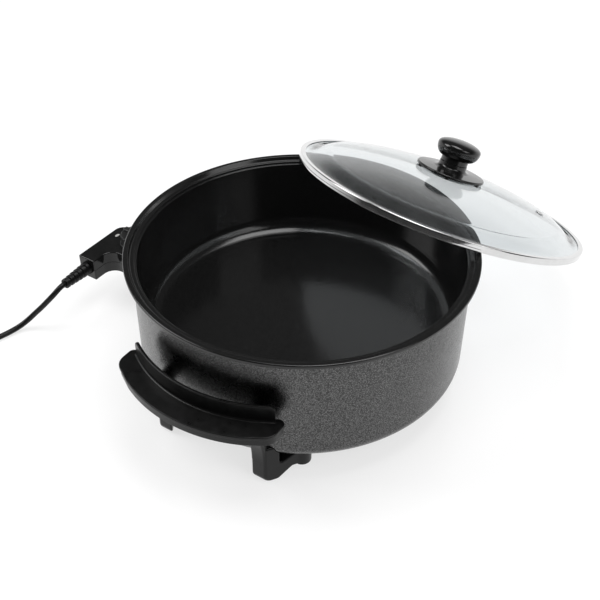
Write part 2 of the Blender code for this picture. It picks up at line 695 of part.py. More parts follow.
def make_element_clips(parent, material):
    """Straps that hold the ring up against the pan's underside."""
    top = PAN_UNDERSIDE - SEAT_GAP
    drop = ELEMENT_RADIUS
    inner = ELEMENT_RADIUS + CLIP_CLEARANCE
    outer = inner + CLIP_THICKNESS
    foot = outer + CLIP_FOOT
    shape = [(-foot, top), (-foot, top - CLIP_THICKNESS), (-outer, top - CLIP_THICKNESS)]
    shape += [(x, z) for x, z in arc((0, top - drop), outer, 180, 360, CLIP_ARCH_STEPS)]
    shape += [(outer, top - CLIP_THICKNESS), (foot, top - CLIP_THICKNESS), (foot, top),
              (inner, top)]
    shape += [(x, z) for x, z in arc((0, top - drop), inner, 360, 180, CLIP_ARCH_STEPS)]
    shape += [(-inner, top)]
    upright = Matrix.Rotation(math.pi / 2, 4, "X")
    for i in range(CLIP_COUNT):
        turn = Matrix.Rotation(2 * math.pi * i / CLIP_COUNT, 4, "Z")
        place = turn @ Matrix.Translation((ELEMENT_RING_RADIUS, 0, 0)) @ upright
        extruded(f"element_clip_{i + 1}", shape, [(-CLIP_WIDTH / 2, 0), (CLIP_WIDTH / 2, 0)],
                 material, parent, place)


def socket_screw_turn(side):
    """Turn about the pan's axis from the socket's middle to one of its screws."""
    return Matrix.Rotation(-side * (FLANGE_WIDTH / 2 - SOCKET_SCREW_INSET) / CASING_RADIUS,
                           4, "Z")


def add_socket_screw_holes(mesh):
    for side in (-1, 1):
        add_lathe(mesh, pin_profile(HOUSING_SCREW_RADIUS + SEAT_GAP, CASING_RADIUS - OVERRUN,
                                    CASING_RADIUS + OVERRUN, SEAT_GAP),
                  SCREW_SEGMENTS, socket_screw_turn(side) @ towards_socket(0))


def make_socket(parent, plastic, steel, brass):
    """Shroud through the casing's wall, its screws and the element's pins."""
    wall_line = CASING_RADIUS
    back = wall_line - SOCKET_INSIDE
    mouth = wall_line + SOCKET_OUTSIDE
    shroud = extruded("socket_shroud",
                      rounded_box(SOCKET_HEIGHT / 2, SOCKET_WIDTH / 2, SOCKET_CORNER),
                      [(back, 0), (mouth, 0)], plastic, parent, towards_socket(0))
    flange = extruded("socket_flange_tool",
                      rounded_box(FLANGE_HEIGHT / 2, FLANGE_WIDTH / 2, FLANGE_CORNER),
                      [(back, 0), (wall_line + OVERRUN, 0)], None, parent, towards_socket(0))
    inner = wall_line + SEAT_GAP
    outer = inner + FLANGE_THICKNESS
    shell = turned("flange_shell_tool",
                   [(inner, SOCKET_AXIS - FLANGE_HEIGHT), (outer, SOCKET_AXIS - FLANGE_HEIGHT),
                    (outer, SOCKET_AXIS + FLANGE_HEIGHT), (inner, SOCKET_AXIS + FLANGE_HEIGHT)],
                   LARGE_SEGMENTS, None, parent)
    combine(flange, shell, "INTERSECT")
    combine(shroud, flange, "UNION")
    bore = extruded("socket_bore_tool",
                    rounded_box(SOCKET_HEIGHT / 2 - SOCKET_WALL, SOCKET_WIDTH / 2 - SOCKET_WALL,
                                SOCKET_CORNER - SOCKET_WALL),
                    [(back + SOCKET_BACK, 0), (mouth + OVERRUN, 0)], None, parent,
                    towards_socket(0))
    combine(shroud, bore, "DIFFERENCE")

    holes = bmesh.new()
    for side in (-1, 1):
        add_lathe(holes, pin_profile(PIN_RADIUS + SEAT_GAP, back - OVERRUN,
                                     back + SOCKET_BACK + OVERRUN / 2, PIN_TIP),
                  SMALL_SEGMENTS, towards_socket(0, side * PIN_HALF_SPACING))
    add_socket_screw_holes(holes)
    add_lathe(holes, pin_profile(PROBE_RADIUS + PROBE_CLEARANCE, back - OVERRUN,
                                 back + SOCKET_BACK + OVERRUN / 2, PIN_TIP),
              SMALL_SEGMENTS, towards_socket(0))
    combine(shroud, finish("socket_hole_tool", holes, None, parent), "DIFFERENCE")

    seat = outer + SEAT_GAP
    for side, word in ((-1, "left"), (1, "right")):
        place = (socket_screw_turn(side) @ towards_socket(seat)
                 @ Matrix.Rotation(math.pi, 4, "X"))
        turned(f"socket_screw_{word}",
               screw_profile(HOUSING_SCREW_RADIUS, FLANGE_THICKNESS + 2 * CASING_WALL,
                             HOUSING_SCREW_HEAD_RADIUS, HOUSING_SCREW_HEAD_HEIGHT),
               SCREW_SEGMENTS, steel, parent, place)
        turned(f"terminal_pin_{word}",
               pin_profile(PIN_RADIUS, back - SOCKET_BACK, back + SOCKET_BACK + PIN_REACH,
                           PIN_TIP),
               SMALL_SEGMENTS, brass, parent, towards_socket(0, side * PIN_HALF_SPACING))
    return shroud


# Handles

def shelf_outline():
    """Plan of the shelf, counter-clockwise, the handle's axis along -Y."""
    outer_centre = SHELF_REACH - SHELF_ARC
    inner_radius = GUARD_ARC - GUARD_THICKNESS
    inner_centre = GUARD_REACH - GUARD_ARC
    reach_out = math.degrees(math.asin(SHELF_HALF_LENGTH / SHELF_ARC))
    reach_in = math.degrees(math.asin(SHELF_HALF_LENGTH / inner_radius))
    outer = arc((0, -outer_centre), SHELF_ARC, FRONT_ANGLE - reach_out,
                FRONT_ANGLE + reach_out, SHELF_ARC_STEPS)
    inner = arc((0, -inner_centre), inner_radius, FRONT_ANGLE + reach_in,
                FRONT_ANGLE - reach_in, SHELF_ARC_STEPS)
    corners = [(*outer[0], SHELF_OUTER_CORNER)]
    corners += [(x, y, 0) for x, y in outer[2:-2]]
    corners += [(*outer[-1], SHELF_OUTER_CORNER), (*inner[0], SHELF_INNER_CORNER)]
    corners += [(x, y, 0) for x, y in inner[2:-2]]
    corners += [(*inner[-1], SHELF_INNER_CORNER)]
    return rounded(corners)


def add_guard(mesh):
    """Upright wall on the shelf's inner edge, its top corners rounded."""
    centre = GUARD_REACH - GUARD_ARC
    half_sweep = math.degrees(math.asin(GUARD_HALF_LENGTH / GUARD_ARC))
    root = SHELF_TOP - SHELF_LIP / 2
    rings = []
    corner_shares = (0.0, 0.1, 0.3, 0.6, 1.0)
    corner_sweep = math.degrees(GUARD_CORNER / GUARD_ARC)
    sweeps = [-half_sweep + corner_sweep * share for share in corner_shares]
    middle = GUARD_STEPS - 2 * len(corner_shares)
    sweeps += [(-half_sweep + corner_sweep) + 2 * (half_sweep - corner_sweep) * (i + 1)
               / (middle + 1) for i in range(middle)]
    sweeps += [half_sweep - corner_sweep * share for share in reversed(corner_shares)]
    for sweep in sweeps:
        from_end = math.radians(half_sweep - abs(sweep)) * GUARD_ARC
        sag = max(GUARD_CORNER - from_end, 0)
        dip = GUARD_CORNER - math.sqrt(max(GUARD_CORNER ** 2 - sag ** 2, 0))
        top = SHELF_TOP + GUARD_HEIGHT - dip
        ring = []
        foot = SHELF_TOP + GUARD_FILLET
        for radius, height in ((GUARD_ARC + GUARD_FILLET, root),
                               (GUARD_ARC + GUARD_FILLET, SHELF_TOP),
                               (GUARD_ARC + GUARD_FILLET / 4, SHELF_TOP + GUARD_FILLET / 4),
                               (GUARD_ARC, foot), (GUARD_ARC, top - SHELF_EDGE),
                               (GUARD_ARC - SHELF_EDGE, top),
                               (GUARD_ARC - GUARD_THICKNESS + SHELF_EDGE, top),
                               (GUARD_ARC - GUARD_THICKNESS + SEAT_GAP, top - SHELF_EDGE),
                               (GUARD_ARC - GUARD_THICKNESS + SEAT_GAP, root)):
            angle = math.radians(FRONT_ANGLE + sweep)
            ring.append(Vector((radius * math.cos(angle),
                                -centre + radius * math.sin(angle), height)))
        rings.append(ring)
    add_skin(mesh, rings)


def leg_direction(side):
    """Unit vector in plan from a leg's outer face to its boss."""
    start = Vector((side * (LEG_INNER + LEG_WIDTH), -LEG_REACH))
    target = Vector((side * (BOSS_SIDE + BOSS_RADIUS * STRUT_SIDE_SHARE), -BOSS_REACH))
    return (target - start).normalized()


def add_leg(mesh, side):
    """Foot column with the strut that runs under the pan to the boss."""
    along = leg_direction(side)
    reach = (LEG_REACH - BOSS_REACH) / along.y
    boss_bottom = CASING_BOTTOM - BOSS_HEIGHT
    strut_low = LEG_SOLE + boss_bottom / STRUT_RISE_SHARE
    top_end = STRUT_TOP_START + (reach - LEG_DEPTH) * STRUT_TOP_RISE_SHARE
    column_top = CASING_BOTTOM + LEG_DEPTH
    profile = [(0, column_top)]
    profile += arc((LEG_CORNER, LEG_CORNER), LEG_CORNER, 180, 270, CORNER_STEPS)
    profile += [(LEG_SOLE, 0), (strut_low, boss_bottom), (reach, boss_bottom),
                (reach, top_end), (LEG_DEPTH, STRUT_TOP_START), (LEG_DEPTH, column_top)]
    rings = []
    for edge in (LEG_INNER, LEG_INNER + LEG_WIDTH):
        rings.append([Vector((side * edge + along.x * s, -LEG_REACH + along.y * s, z))
                      for s, z in profile])
    add_skin(mesh, rings)


def add_bracket(mesh, side):
    """Arm that sweeps from the leg up and out to the underside of the shelf."""
    knee = CASING_BOTTOM - BRACKET_KNEE_DROP
    top = SHELF_TOP - SHELF_ROOF + SEAT_GAP
    underside = SHELF_TOP - SHELF_LIP - SHELF_SKIRT
    root = LEG_REACH - LEG_DEPTH
    outer = []
    inner = []
    for i in range(BRACKET_STEPS + 1):
        turn = math.pi / 2 * i / BRACKET_STEPS
        out, up = 1 - math.cos(turn), math.sin(turn)
        outer.append((LEG_REACH + (BRACKET_TOP_REACH - LEG_REACH) * out,
                      knee + (underside - knee) * up))
        inner.append((root + (BRACKET_TOP_REACH - BRACKET_TOP_DEPTH - root) * out,
                      knee + (top - knee) * up))
    profile = outer + [(BRACKET_TOP_REACH, top)] + inner[::-1]
    rings = []
    for edge in (LEG_INNER, LEG_INNER + LEG_WIDTH):
        rings.append([Vector((side * edge, -reach, height)) for reach, height in profile])
    add_skin(mesh, rings)


def make_handle(name, parent, material):
    outline = shelf_outline()
    lip_bottom = SHELF_TOP - SHELF_LIP
    bottom = lip_bottom - SHELF_SKIRT
    shelf = extruded(name, outline,
                     [(bottom, SHELF_SKIRT_INSET + SHELF_EDGE / 2),
                      (bottom + SHELF_EDGE, SHELF_SKIRT_INSET),
                      (lip_bottom, SHELF_SKIRT_INSET), (lip_bottom + SEAT_GAP, 0),
                      (SHELF_TOP - SHELF_EDGE, 0), (SHELF_TOP, SHELF_EDGE)],
                     material, parent)
    pocket = extruded(name + "_pocket_tool", inset(outline, SHELF_SKIRT_INSET + SHELF_WALL),
                      [(bottom - OVERRUN, 0), (SHELF_TOP - SHELF_ROOF, 0)], None, parent)
    combine(shelf, pocket, "DIFFERENCE")

    ribs = bmesh.new()
    for share in RIB_SHARES:
        x = share * 2 * SHELF_HALF_LENGTH
        depth_in = GUARD_REACH - GUARD_ARC + math.sqrt(GUARD_ARC ** 2 - x ** 2) - GUARD_THICKNESS
        depth_out = SHELF_REACH - SHELF_ARC + math.sqrt(SHELF_ARC ** 2 - x ** 2)
        edge_in = depth_in + SHELF_WALL
        edge_out = depth_out - SHELF_WALL
        add_prism(ribs, [(x - RIB_THICKNESS / 2, -edge_out), (x + RIB_THICKNESS / 2, -edge_out),
                         (x + RIB_THICKNESS / 2, -edge_in), (x - RIB_THICKNESS / 2, -edge_in)],
                  [(bottom + SHELF_EDGE, 0), (SHELF_TOP - SHELF_ROOF / 2, 0)])
    combine(shelf, finish(name + "_rib_tool", ribs, None, parent), "UNION")

    guard = bmesh.new()
    add_guard(guard)
    combine(shelf, finish(name + "_guard_tool", guard, None, parent), "UNION")

    for side, word in ((-1, "left"), (1, "right")):
        for add, kind in ((add_bracket, "bracket"), (add_leg, "leg")):
            mesh = bmesh.new()
            add(mesh, side)
            combine(shelf, finish(f"{name}_{kind}_{word}_tool", mesh, None, parent), "UNION")
        boss = turned(f"{name}_boss_{word}_tool",
                      [(0, CASING_BOTTOM - BOSS_HEIGHT),
                       (BOSS_RADIUS - SHELF_EDGE, CASING_BOTTOM - BOSS_HEIGHT),
                       (BOSS_RADIUS, CASING_BOTTOM - BOSS_HEIGHT + SHELF_EDGE),
                       (BOSS_RADIUS, CASING_BOTTOM + OVERRUN), (0, CASING_BOTTOM + OVERRUN)],
                      SMALL_SEGMENTS, None, parent,
                      Matrix.Translation((side * BOSS_SIDE, -BOSS_REACH, 0)))
        combine(shelf, boss, "UNION")

    room = [(0, CASING_BOTTOM - SEAT_GAP)]
    room += list(reversed(casing_outline(HANDLE_WALL_GAP, SEAT_GAP)))
    room += [(CASING_RADIUS + HANDLE_WALL_GAP, RIM_TOP), (0, RIM_TOP)]
    combine(shelf, turned(name + "_room_tool", room, LARGE_SEGMENTS, None, parent), "DIFFERENCE")

    bores = bmesh.new()
    web = CASING_BOTTOM - BOSS_WEB
    for side in (-1, 1):
        add_lathe(bores, [(0, web - BOSS_HEIGHT), (BOSS_RECESS_RADIUS, web - BOSS_HEIGHT),
                          (BOSS_RECESS_RADIUS, web), (SCREW_HOLE_RADIUS, web),
                          (SCREW_HOLE_RADIUS, CASING_BOTTOM + OVERRUN),
                          (0, CASING_BOTTOM + OVERRUN)], SMALL_SEGMENTS,
                  Matrix.Translation((side * BOSS_SIDE, -BOSS_REACH, 0)))
    combine(shelf, finish(name + "_bore_tool", bores, None, parent), "DIFFERENCE")
    return shelf


def make_handle_fixings(parent, material):
    """Screws up through the bosses, each with a hexagon nut inside the casing."""
    seat = CASING_BOTTOM - BOSS_WEB - SEAT_GAP
    length = BOSS_WEB + CASING_WALL + NUT_HEIGHT + SCREW_RADIUS
    bottom = CASING_BOTTOM + CASING_WALL + SEAT_GAP
    bore = SCREW_RADIUS + SEAT_GAP
    words = ("front_left", "front_right", "rear_left", "rear_right")
    for word, (x, y) in zip(words, screw_places()):
        turned(f"handle_screw_{word}",
               screw_profile(SCREW_RADIUS, length, SCREW_HEAD_RADIUS, SCREW_HEAD_HEIGHT),
               SCREW_SEGMENTS, material, parent, Matrix.Translation((x, y, seat)))
        turned(f"handle_nut_{word}",
               [(bore, bottom), (NUT_RADIUS, bottom), (NUT_RADIUS, bottom + NUT_HEIGHT),
                (bore, bottom + NUT_HEIGHT)], 6, material, parent,
               Matrix.Translation((x, y, 0)))


# Lid, in its own frame: Z along its axis, 0 at the band's underside

def lid_height():
    """Height of the lid's frame at which the tilted band rests on the rim.

    The inner edge of the band's underside, a tilted circle, passes over the
    outer edge of the rim's flat top at two places. The cosine of their angle
    on the lid comes from the quadratic where both lie on one cylinder.
    """
    tilt = math.radians(LID_TILT)
    ring = LID_RADIUS - BAND_LIP
    rim = RIM_RADIUS - RIM_EDGE_ROUND
    a = ring ** 2 * (math.cos(tilt) ** 2 - 1)
    b = 2 * LID_OFFSET * ring * math.cos(tilt)
    c = LID_OFFSET ** 2 + ring ** 2 - rim ** 2
    share = (-b + math.sqrt(b * b - 4 * a * c)) / (2 * a)
    return RIM_TOP + SEAT_GAP / math.cos(tilt) + ring * math.sin(tilt) * share


def dome_height(radius):
    """Height of the glass's upper face above its shoulder's top at a radius."""
    edge = LID_RADIUS - BAND_THICKNESS - SEAT_GAP - GLASS_FLANGE - GLASS_SHOULDER_RUN
    sphere = (edge ** 2 + GLASS_DOME_RISE ** 2) / (2 * GLASS_DOME_RISE)
    return math.sqrt(sphere ** 2 - radius ** 2) - (sphere - GLASS_DOME_RISE)


def glass_top(radius):
    """Height of the glass's upper face in the lid's frame, flat under the knob."""
    base = BAND_BEAD + SEAT_GAP + GLASS_THICKNESS + GLASS_SHOULDER_RISE
    return base + dome_height(max(radius, GASKET_RADIUS))


def make_lid_glass(parent, material):
    edge = LID_RADIUS - BAND_THICKNESS - SEAT_GAP
    low = BAND_BEAD + SEAT_GAP
    flange = edge - GLASS_FLANGE
    dome = flange - GLASS_SHOULDER_RUN
    upper = [(edge, low + GLASS_THICKNESS), (flange, low + GLASS_THICKNESS),
             (flange - GLASS_SHOULDER_RUN / 3, low + GLASS_THICKNESS + GLASS_SHOULDER_RISE / 2)]
    for i in range(GLASS_DOME_STEPS + 1):
        radius = dome + (GASKET_RADIUS - dome) * i / GLASS_DOME_STEPS
        upper.append((radius, glass_top(radius)))
    upper.append((GLASS_HOLE_RADIUS, glass_top(GLASS_HOLE_RADIUS)))
    lower = [(radius, height - GLASS_THICKNESS) for radius, height in reversed(upper)]
    glass = turned("lid_glass", upper + lower, LARGE_SEGMENTS, material, parent)

    x, y, height, place = vent_place()
    hole = turned("vent_hole_tool",
                  [(0, -GLASS_THICKNESS - OVERRUN), (VENT_HOLE_RADIUS, -GLASS_THICKNESS - OVERRUN),
                   (VENT_HOLE_RADIUS, OVERRUN), (0, OVERRUN)], SMALL_SEGMENTS, None, parent, place)
    combine(glass, hole, "DIFFERENCE")
    return glass


def vent_place():
    """Where the vent stands on the dome, square to the glass."""
    angle = math.radians(VENT_ANGLE)
    x, y = VENT_RING * math.cos(angle), VENT_RING * math.sin(angle)
    edge = LID_RADIUS - BAND_THICKNESS - SEAT_GAP - GLASS_FLANGE - GLASS_SHOULDER_RUN
    sphere = (edge ** 2 + GLASS_DOME_RISE ** 2) / (2 * GLASS_DOME_RISE)
    lean = math.asin(VENT_RING / sphere)
    height = glass_top(VENT_RING)
    place = (Matrix.Translation((x, y, height)) @ Matrix.Rotation(angle, 4, "Z")
             @ Matrix.Rotation(lean, 4, "Y"))
    return x, y, height, place


def make_vent(parent, material):
    """Eyelet with a flange on each side of the glass."""
    over = SEAT_GAP + VENT_FLANGE_THICKNESS
    profile = [(VENT_BORE_RADIUS, -GLASS_THICKNESS - over - SEAT_GAP),
               (VENT_FLANGE_RADIUS, -GLASS_THICKNESS - over - SEAT_GAP),
               (VENT_FLANGE_RADIUS, -GLASS_THICKNESS - 2 * SEAT_GAP),
               (VENT_HOLE_RADIUS - 2 * SEAT_GAP, -GLASS_THICKNESS - 2 * SEAT_GAP),
               (VENT_HOLE_RADIUS - 2 * SEAT_GAP, SEAT_GAP),
               (VENT_FLANGE_RADIUS, SEAT_GAP),
               (VENT_FLANGE_RADIUS - VENT_FLANGE_THICKNESS / 2, over),
               (VENT_BORE_RADIUS, over)]
    return turned("vent_grommet", profile, SMALL_SEGMENTS, material, parent, vent_place()[3])


def make_lid_band(parent, material):
    """Channel-shaped steel band around the glass's edge."""
    inner = LID_RADIUS - BAND_LIP
    top = BAND_BEAD + SEAT_GAP + GLASS_THICKNESS + SEAT_GAP + BAND_THICKNESS
    profile = [(inner, 0), (LID_RADIUS - BAND_EDGE, 0), (LID_RADIUS, BAND_EDGE),
               (LID_RADIUS, top - BAND_EDGE), (LID_RADIUS - BAND_EDGE, top),
               (inner, top), (inner, top - BAND_THICKNESS),
               (LID_RADIUS - BAND_THICKNESS, top - BAND_THICKNESS),
               (LID_RADIUS - BAND_THICKNESS, BAND_BEAD), (inner, BAND_BEAD)]
    return turned("lid_band", profile, LARGE_SEGMENTS, material, parent)


def make_knob(parent, black, clear, steel, grey):
    crown = glass_top(GLASS_HOLE_RADIUS)
    bore = GLASS_HOLE_RADIUS
    turned("knob_gasket",
           [(bore, crown + SEAT_GAP), (GASKET_RADIUS, crown + SEAT_GAP),
            (GASKET_RADIUS, crown + SEAT_GAP + GASKET_THICKNESS),
            (bore, crown + SEAT_GAP + GASKET_THICKNESS)], KNOB_SEGMENTS, clear, parent)

    base = crown + GASKET_THICKNESS + 2 * SEAT_GAP
    seam = base + KNOB_BASE_EDGE + KNOB_BASE_CONE_RISE + KNOB_STEM_HEIGHT
    screw_bore = KNOB_SCREW_RADIUS + SEAT_GAP
    screw_top = crown + KNOB_SCREW_REACH
    base_profile = [(screw_bore, base), (KNOB_BASE_RADIUS - KNOB_BASE_EDGE_ROUND, base),
                    (KNOB_BASE_RADIUS, base + KNOB_BASE_EDGE_ROUND),
                    (KNOB_BASE_RADIUS, base + KNOB_BASE_EDGE - KNOB_BASE_EDGE_ROUND),
                    (KNOB_BASE_RADIUS - KNOB_BASE_EDGE_ROUND, base + KNOB_BASE_EDGE),
                    (KNOB_BASE_CONE_RADIUS, base + KNOB_BASE_EDGE + KNOB_BASE_CONE_RISE / 2),
                    (KNOB_STEM_RADIUS, base + KNOB_BASE_EDGE + KNOB_BASE_CONE_RISE),
                    (KNOB_STEM_RADIUS, seam), (screw_bore, seam)]
    mesh = bmesh.new()
    add_lathe(mesh, base_profile, KNOB_SEGMENTS)
    knob_base = finish("knob_base", mesh, black, parent)
    feet = bmesh.new()
    ring = KNOB_BASE_RADIUS - KNOB_FOOT_INSET
    for i in range(KNOB_FOOT_COUNT):
        angle = 2 * math.pi * (i + 0.5) / KNOB_FOOT_COUNT
        add_lathe(feet, [(0, base - KNOB_FOOT_HEIGHT), (KNOB_FOOT_RADIUS, base - KNOB_FOOT_HEIGHT),
                         (KNOB_FOOT_RADIUS, base + KNOB_BASE_EDGE_ROUND),
                         (0, base + KNOB_BASE_EDGE_ROUND)], 8,
                  Matrix.Translation((ring * math.cos(angle), ring * math.sin(angle), 0)))
    combine(knob_base, finish("knob_feet_tool", feet, None, parent), "UNION")

    start = seam + SEAT_GAP
    neck = start + KNOB_NECK_HEIGHT
    widest = neck + KNOB_HEAD_RISE
    head = [(0, screw_top + SEAT_GAP)] if screw_top > start else [(0, start)]
    if screw_top > start:
        head += [(screw_bore, screw_top + SEAT_GAP), (screw_bore, start)]
    head += [(KNOB_NECK_RADIUS, start), (KNOB_NECK_RADIUS, neck)]
    for i in range(1, KNOB_HEAD_STEPS + 1):
        turn = math.pi / 2 * i / KNOB_HEAD_STEPS
        head.append((KNOB_NECK_RADIUS + (KNOB_HEAD_RADIUS - KNOB_NECK_RADIUS) * math.sin(turn),
                     neck + KNOB_HEAD_RISE * (1 - math.cos(turn))))
    for i in range(1, KNOB_HEAD_STEPS + 1):
        turn = math.pi / 2 * i / KNOB_HEAD_STEPS
        head.append((KNOB_HEAD_RADIUS * math.cos(turn) if i < KNOB_HEAD_STEPS else 0,
                     widest + KNOB_HEAD_TOP * math.sin(turn) ** 0.8))
    turned("knob_head", head, KNOB_SEGMENTS, black, parent)

    washer_top = crown - GLASS_THICKNESS - SEAT_GAP
    turned("lid_washer",
           [(screw_bore, washer_top - WASHER_THICKNESS),
            (WASHER_RADIUS, washer_top - WASHER_THICKNESS), (WASHER_RADIUS, washer_top),
            (screw_bore, washer_top)], KNOB_SEGMENTS, grey, parent)
    seat = washer_top - WASHER_THICKNESS - SEAT_GAP
    turned("knob_screw",
           screw_profile(KNOB_SCREW_RADIUS, screw_top - seat, KNOB_SCREW_HEAD_RADIUS,
                         KNOB_SCREW_HEAD_HEIGHT),
           SCREW_SEGMENTS, steel, parent, Matrix.Translation((0, 0, seat)))


# Thermostat, in the pan's frame

def housing_outline():
    """Plan of the L-shaped housing, counter-clockwise."""
    inner_x = -(HOUSING_REACH - TAIL_WIDTH)
    return rounded([
        (HEAD_START_X, HEAD_HALF_WIDTH, TAIL_CORNER),
        (-HOUSING_REACH, HEAD_HALF_WIDTH, HEAD_CORNER),
        (-HOUSING_REACH, -TAIL_END, TAIL_CORNER),
        (inner_x, -TAIL_END, TAIL_CORNER),
        (inner_x, -HEAD_SIDE, TAIL_INNER_FILLET),
        (HEAD_START_X, -HEAD_SIDE, TAIL_CORNER),
    ], CORNER_STEPS + 1)


def nose_outline(sign):
    """Half of the nose that fills the socket, split at its middle height."""
    half_y = SOCKET_WIDTH / 2 - SOCKET_WALL - NOSE_CLEARANCE
    edge = sign * (SOCKET_HEIGHT / 2 - SOCKET_WALL - NOSE_CLEARANCE)
    split = sign * SEAT_GAP / 2
    return rounded([(split, -half_y, 0), (edge, -half_y, NOSE_CORNER),
                    (edge, half_y, NOSE_CORNER), (split, half_y, 0)][::sign])


def housing_screw_places():
    inner = HOUSING_SCREW_INSET
    return [(HEAD_START_X - inner, HEAD_HALF_WIDTH - inner),
            (HEAD_START_X - inner, -HEAD_SIDE + inner),
            (-HOUSING_REACH + TAIL_WIDTH / 2, -TAIL_END + inner)]


def make_thermostat(parent, black, steel, brass, lens_material):
    outline = housing_outline()
    split = SOCKET_AXIS
    nose_start = -SOCKET_MOUTH_X - NOSE_REACH
    nose_end = -HEAD_START_X + OVERRUN

    lower = extruded("thermostat_lower_housing", outline,
                     [(HOUSING_BOTTOM, HOUSING_CHAMFER), (HOUSING_BOTTOM + HOUSING_CHAMFER, 0),
                      (split - SEAT_GAP / 2, 0)], black, parent)
    upper = extruded("thermostat_upper_housing", outline,
                     [(split + SEAT_GAP / 2, 0), (HOUSING_TOP - HOUSING_CHAMFER, 0),
                      (HOUSING_TOP, HOUSING_CHAMFER)], black, parent)
    for half, sign, word in ((lower, -1, "lower"), (upper, 1, "upper")):
        nose = extruded(f"nose_{word}_tool", nose_outline(sign),
                        [(nose_start, 0), (nose_end, 0)], None, parent, towards_socket(0))
        combine(half, nose, "UNION")

    bores = bmesh.new()
    for side in (-1, 1):
        add_lathe(bores, pin_profile(SLEEVE_RADIUS + SEAT_GAP, nose_start - OVERRUN,
                                     nose_start + SLEEVE_LENGTH + PIN_TIP, PIN_TIP),
                  SMALL_SEGMENTS, towards_socket(0, side * PIN_HALF_SPACING))
    add_lathe(bores, pin_profile(PROBE_RADIUS + SEAT_GAP, nose_start - OVERRUN,
                                 nose_start + PROBE_ROOT + SEAT_GAP, SEAT_GAP),
              SMALL_SEGMENTS, towards_socket(0))
    bore_tool = finish("nose_bore_tool", bores, None, parent)
    combine(lower, bore_tool, "DIFFERENCE")
    combine(upper, bore_tool, "DIFFERENCE")

    # Dial shaft, lens and screws
    shaft_hole = turned("dial_hole_tool",
                        [(0, HOUSING_TOP - DIAL_SHAFT_DEPTH),
                         (DIAL_SHAFT_RADIUS + DIAL_SHAFT_CLEARANCE,
                          HOUSING_TOP - DIAL_SHAFT_DEPTH),
                         (DIAL_SHAFT_RADIUS + DIAL_SHAFT_CLEARANCE, HOUSING_TOP + OVERRUN),
                         (0, HOUSING_TOP + OVERRUN)], SMALL_SEGMENTS, None, parent,
                        Matrix.Translation((-DIAL_AXIS_REACH, DIAL_AXIS_SIDE, 0)))
    combine(upper, shaft_hole, "DIFFERENCE")
    lens_outline = rounded_box(LENS_WIDTH / 2, LENS_LENGTH / 2, LENS_WIDTH / 2)
    lens_place = Matrix.Translation((-HOUSING_REACH + LENS_INSET, LENS_SIDE, 0))
    pocket = extruded("lens_pocket_tool", rounded_box(LENS_WIDTH / 2 + SEAT_GAP,
                                                      LENS_LENGTH / 2 + SEAT_GAP,
                                                      LENS_WIDTH / 2 + SEAT_GAP),
                      [(HOUSING_TOP - LENS_DEPTH - SEAT_GAP, 0), (HOUSING_TOP + OVERRUN, 0)],
                      None, parent, lens_place)
    combine(upper, pocket, "DIFFERENCE")
    extruded("pilot_lens", lens_outline,
             [(HOUSING_TOP - LENS_DEPTH, 0), (HOUSING_TOP, 0),
              (HOUSING_TOP + LENS_PROUD, LENS_PROUD)], lens_material, parent, lens_place)

    holes = bmesh.new()
    seat = HOUSING_BOTTOM + HOUSING_SCREW_HEAD_HEIGHT + SEAT_GAP
    for i, (x, y) in enumerate(housing_screw_places()):
        place = Matrix.Translation((x, y, seat))
        add_lathe(holes, [(0, -OVERRUN), (HOUSING_SCREW_HEAD_RADIUS + SEAT_GAP, -OVERRUN),
                          (HOUSING_SCREW_HEAD_RADIUS + SEAT_GAP, SEAT_GAP),
                          (HOUSING_SCREW_RADIUS + SEAT_GAP, SEAT_GAP),
                          (HOUSING_SCREW_RADIUS + SEAT_GAP, HOUSING_SCREW_DEPTH + SEAT_GAP),
                          (0, HOUSING_SCREW_DEPTH + SEAT_GAP)], SCREW_SEGMENTS, place)
        turned(f"thermostat_screw_{i + 1}",
               screw_profile(HOUSING_SCREW_RADIUS, HOUSING_SCREW_DEPTH,
                             HOUSING_SCREW_HEAD_RADIUS, HOUSING_SCREW_HEAD_HEIGHT),
               SCREW_SEGMENTS, steel, parent, place)
    combine(lower, finish("housing_screw_tool", holes, None, parent), "DIFFERENCE")

    start = nose_start + PIN_TIP
    end = nose_start + SLEEVE_LENGTH
    for side, word in ((-1, "left"), (1, "right")):
        turned(f"contact_sleeve_{word}",
               [(SLEEVE_BORE, start), (SLEEVE_RADIUS, start), (SLEEVE_RADIUS, end),
                (SLEEVE_BORE, end)], SMALL_SEGMENTS, brass, parent,
               towards_socket(0, side * PIN_HALF_SPACING))

    probe = [(0, nose_start - PROBE_REACH),
             (PROBE_RADIUS - PROBE_TIP_ROUND, nose_start - PROBE_REACH),
             (PROBE_RADIUS, nose_start - PROBE_REACH + PROBE_TIP_ROUND),
             (PROBE_RADIUS, nose_start + PROBE_ROOT), (0, nose_start + PROBE_ROOT)]
    turned("probe_rod", probe, SMALL_SEGMENTS, steel, parent, towards_socket(0))


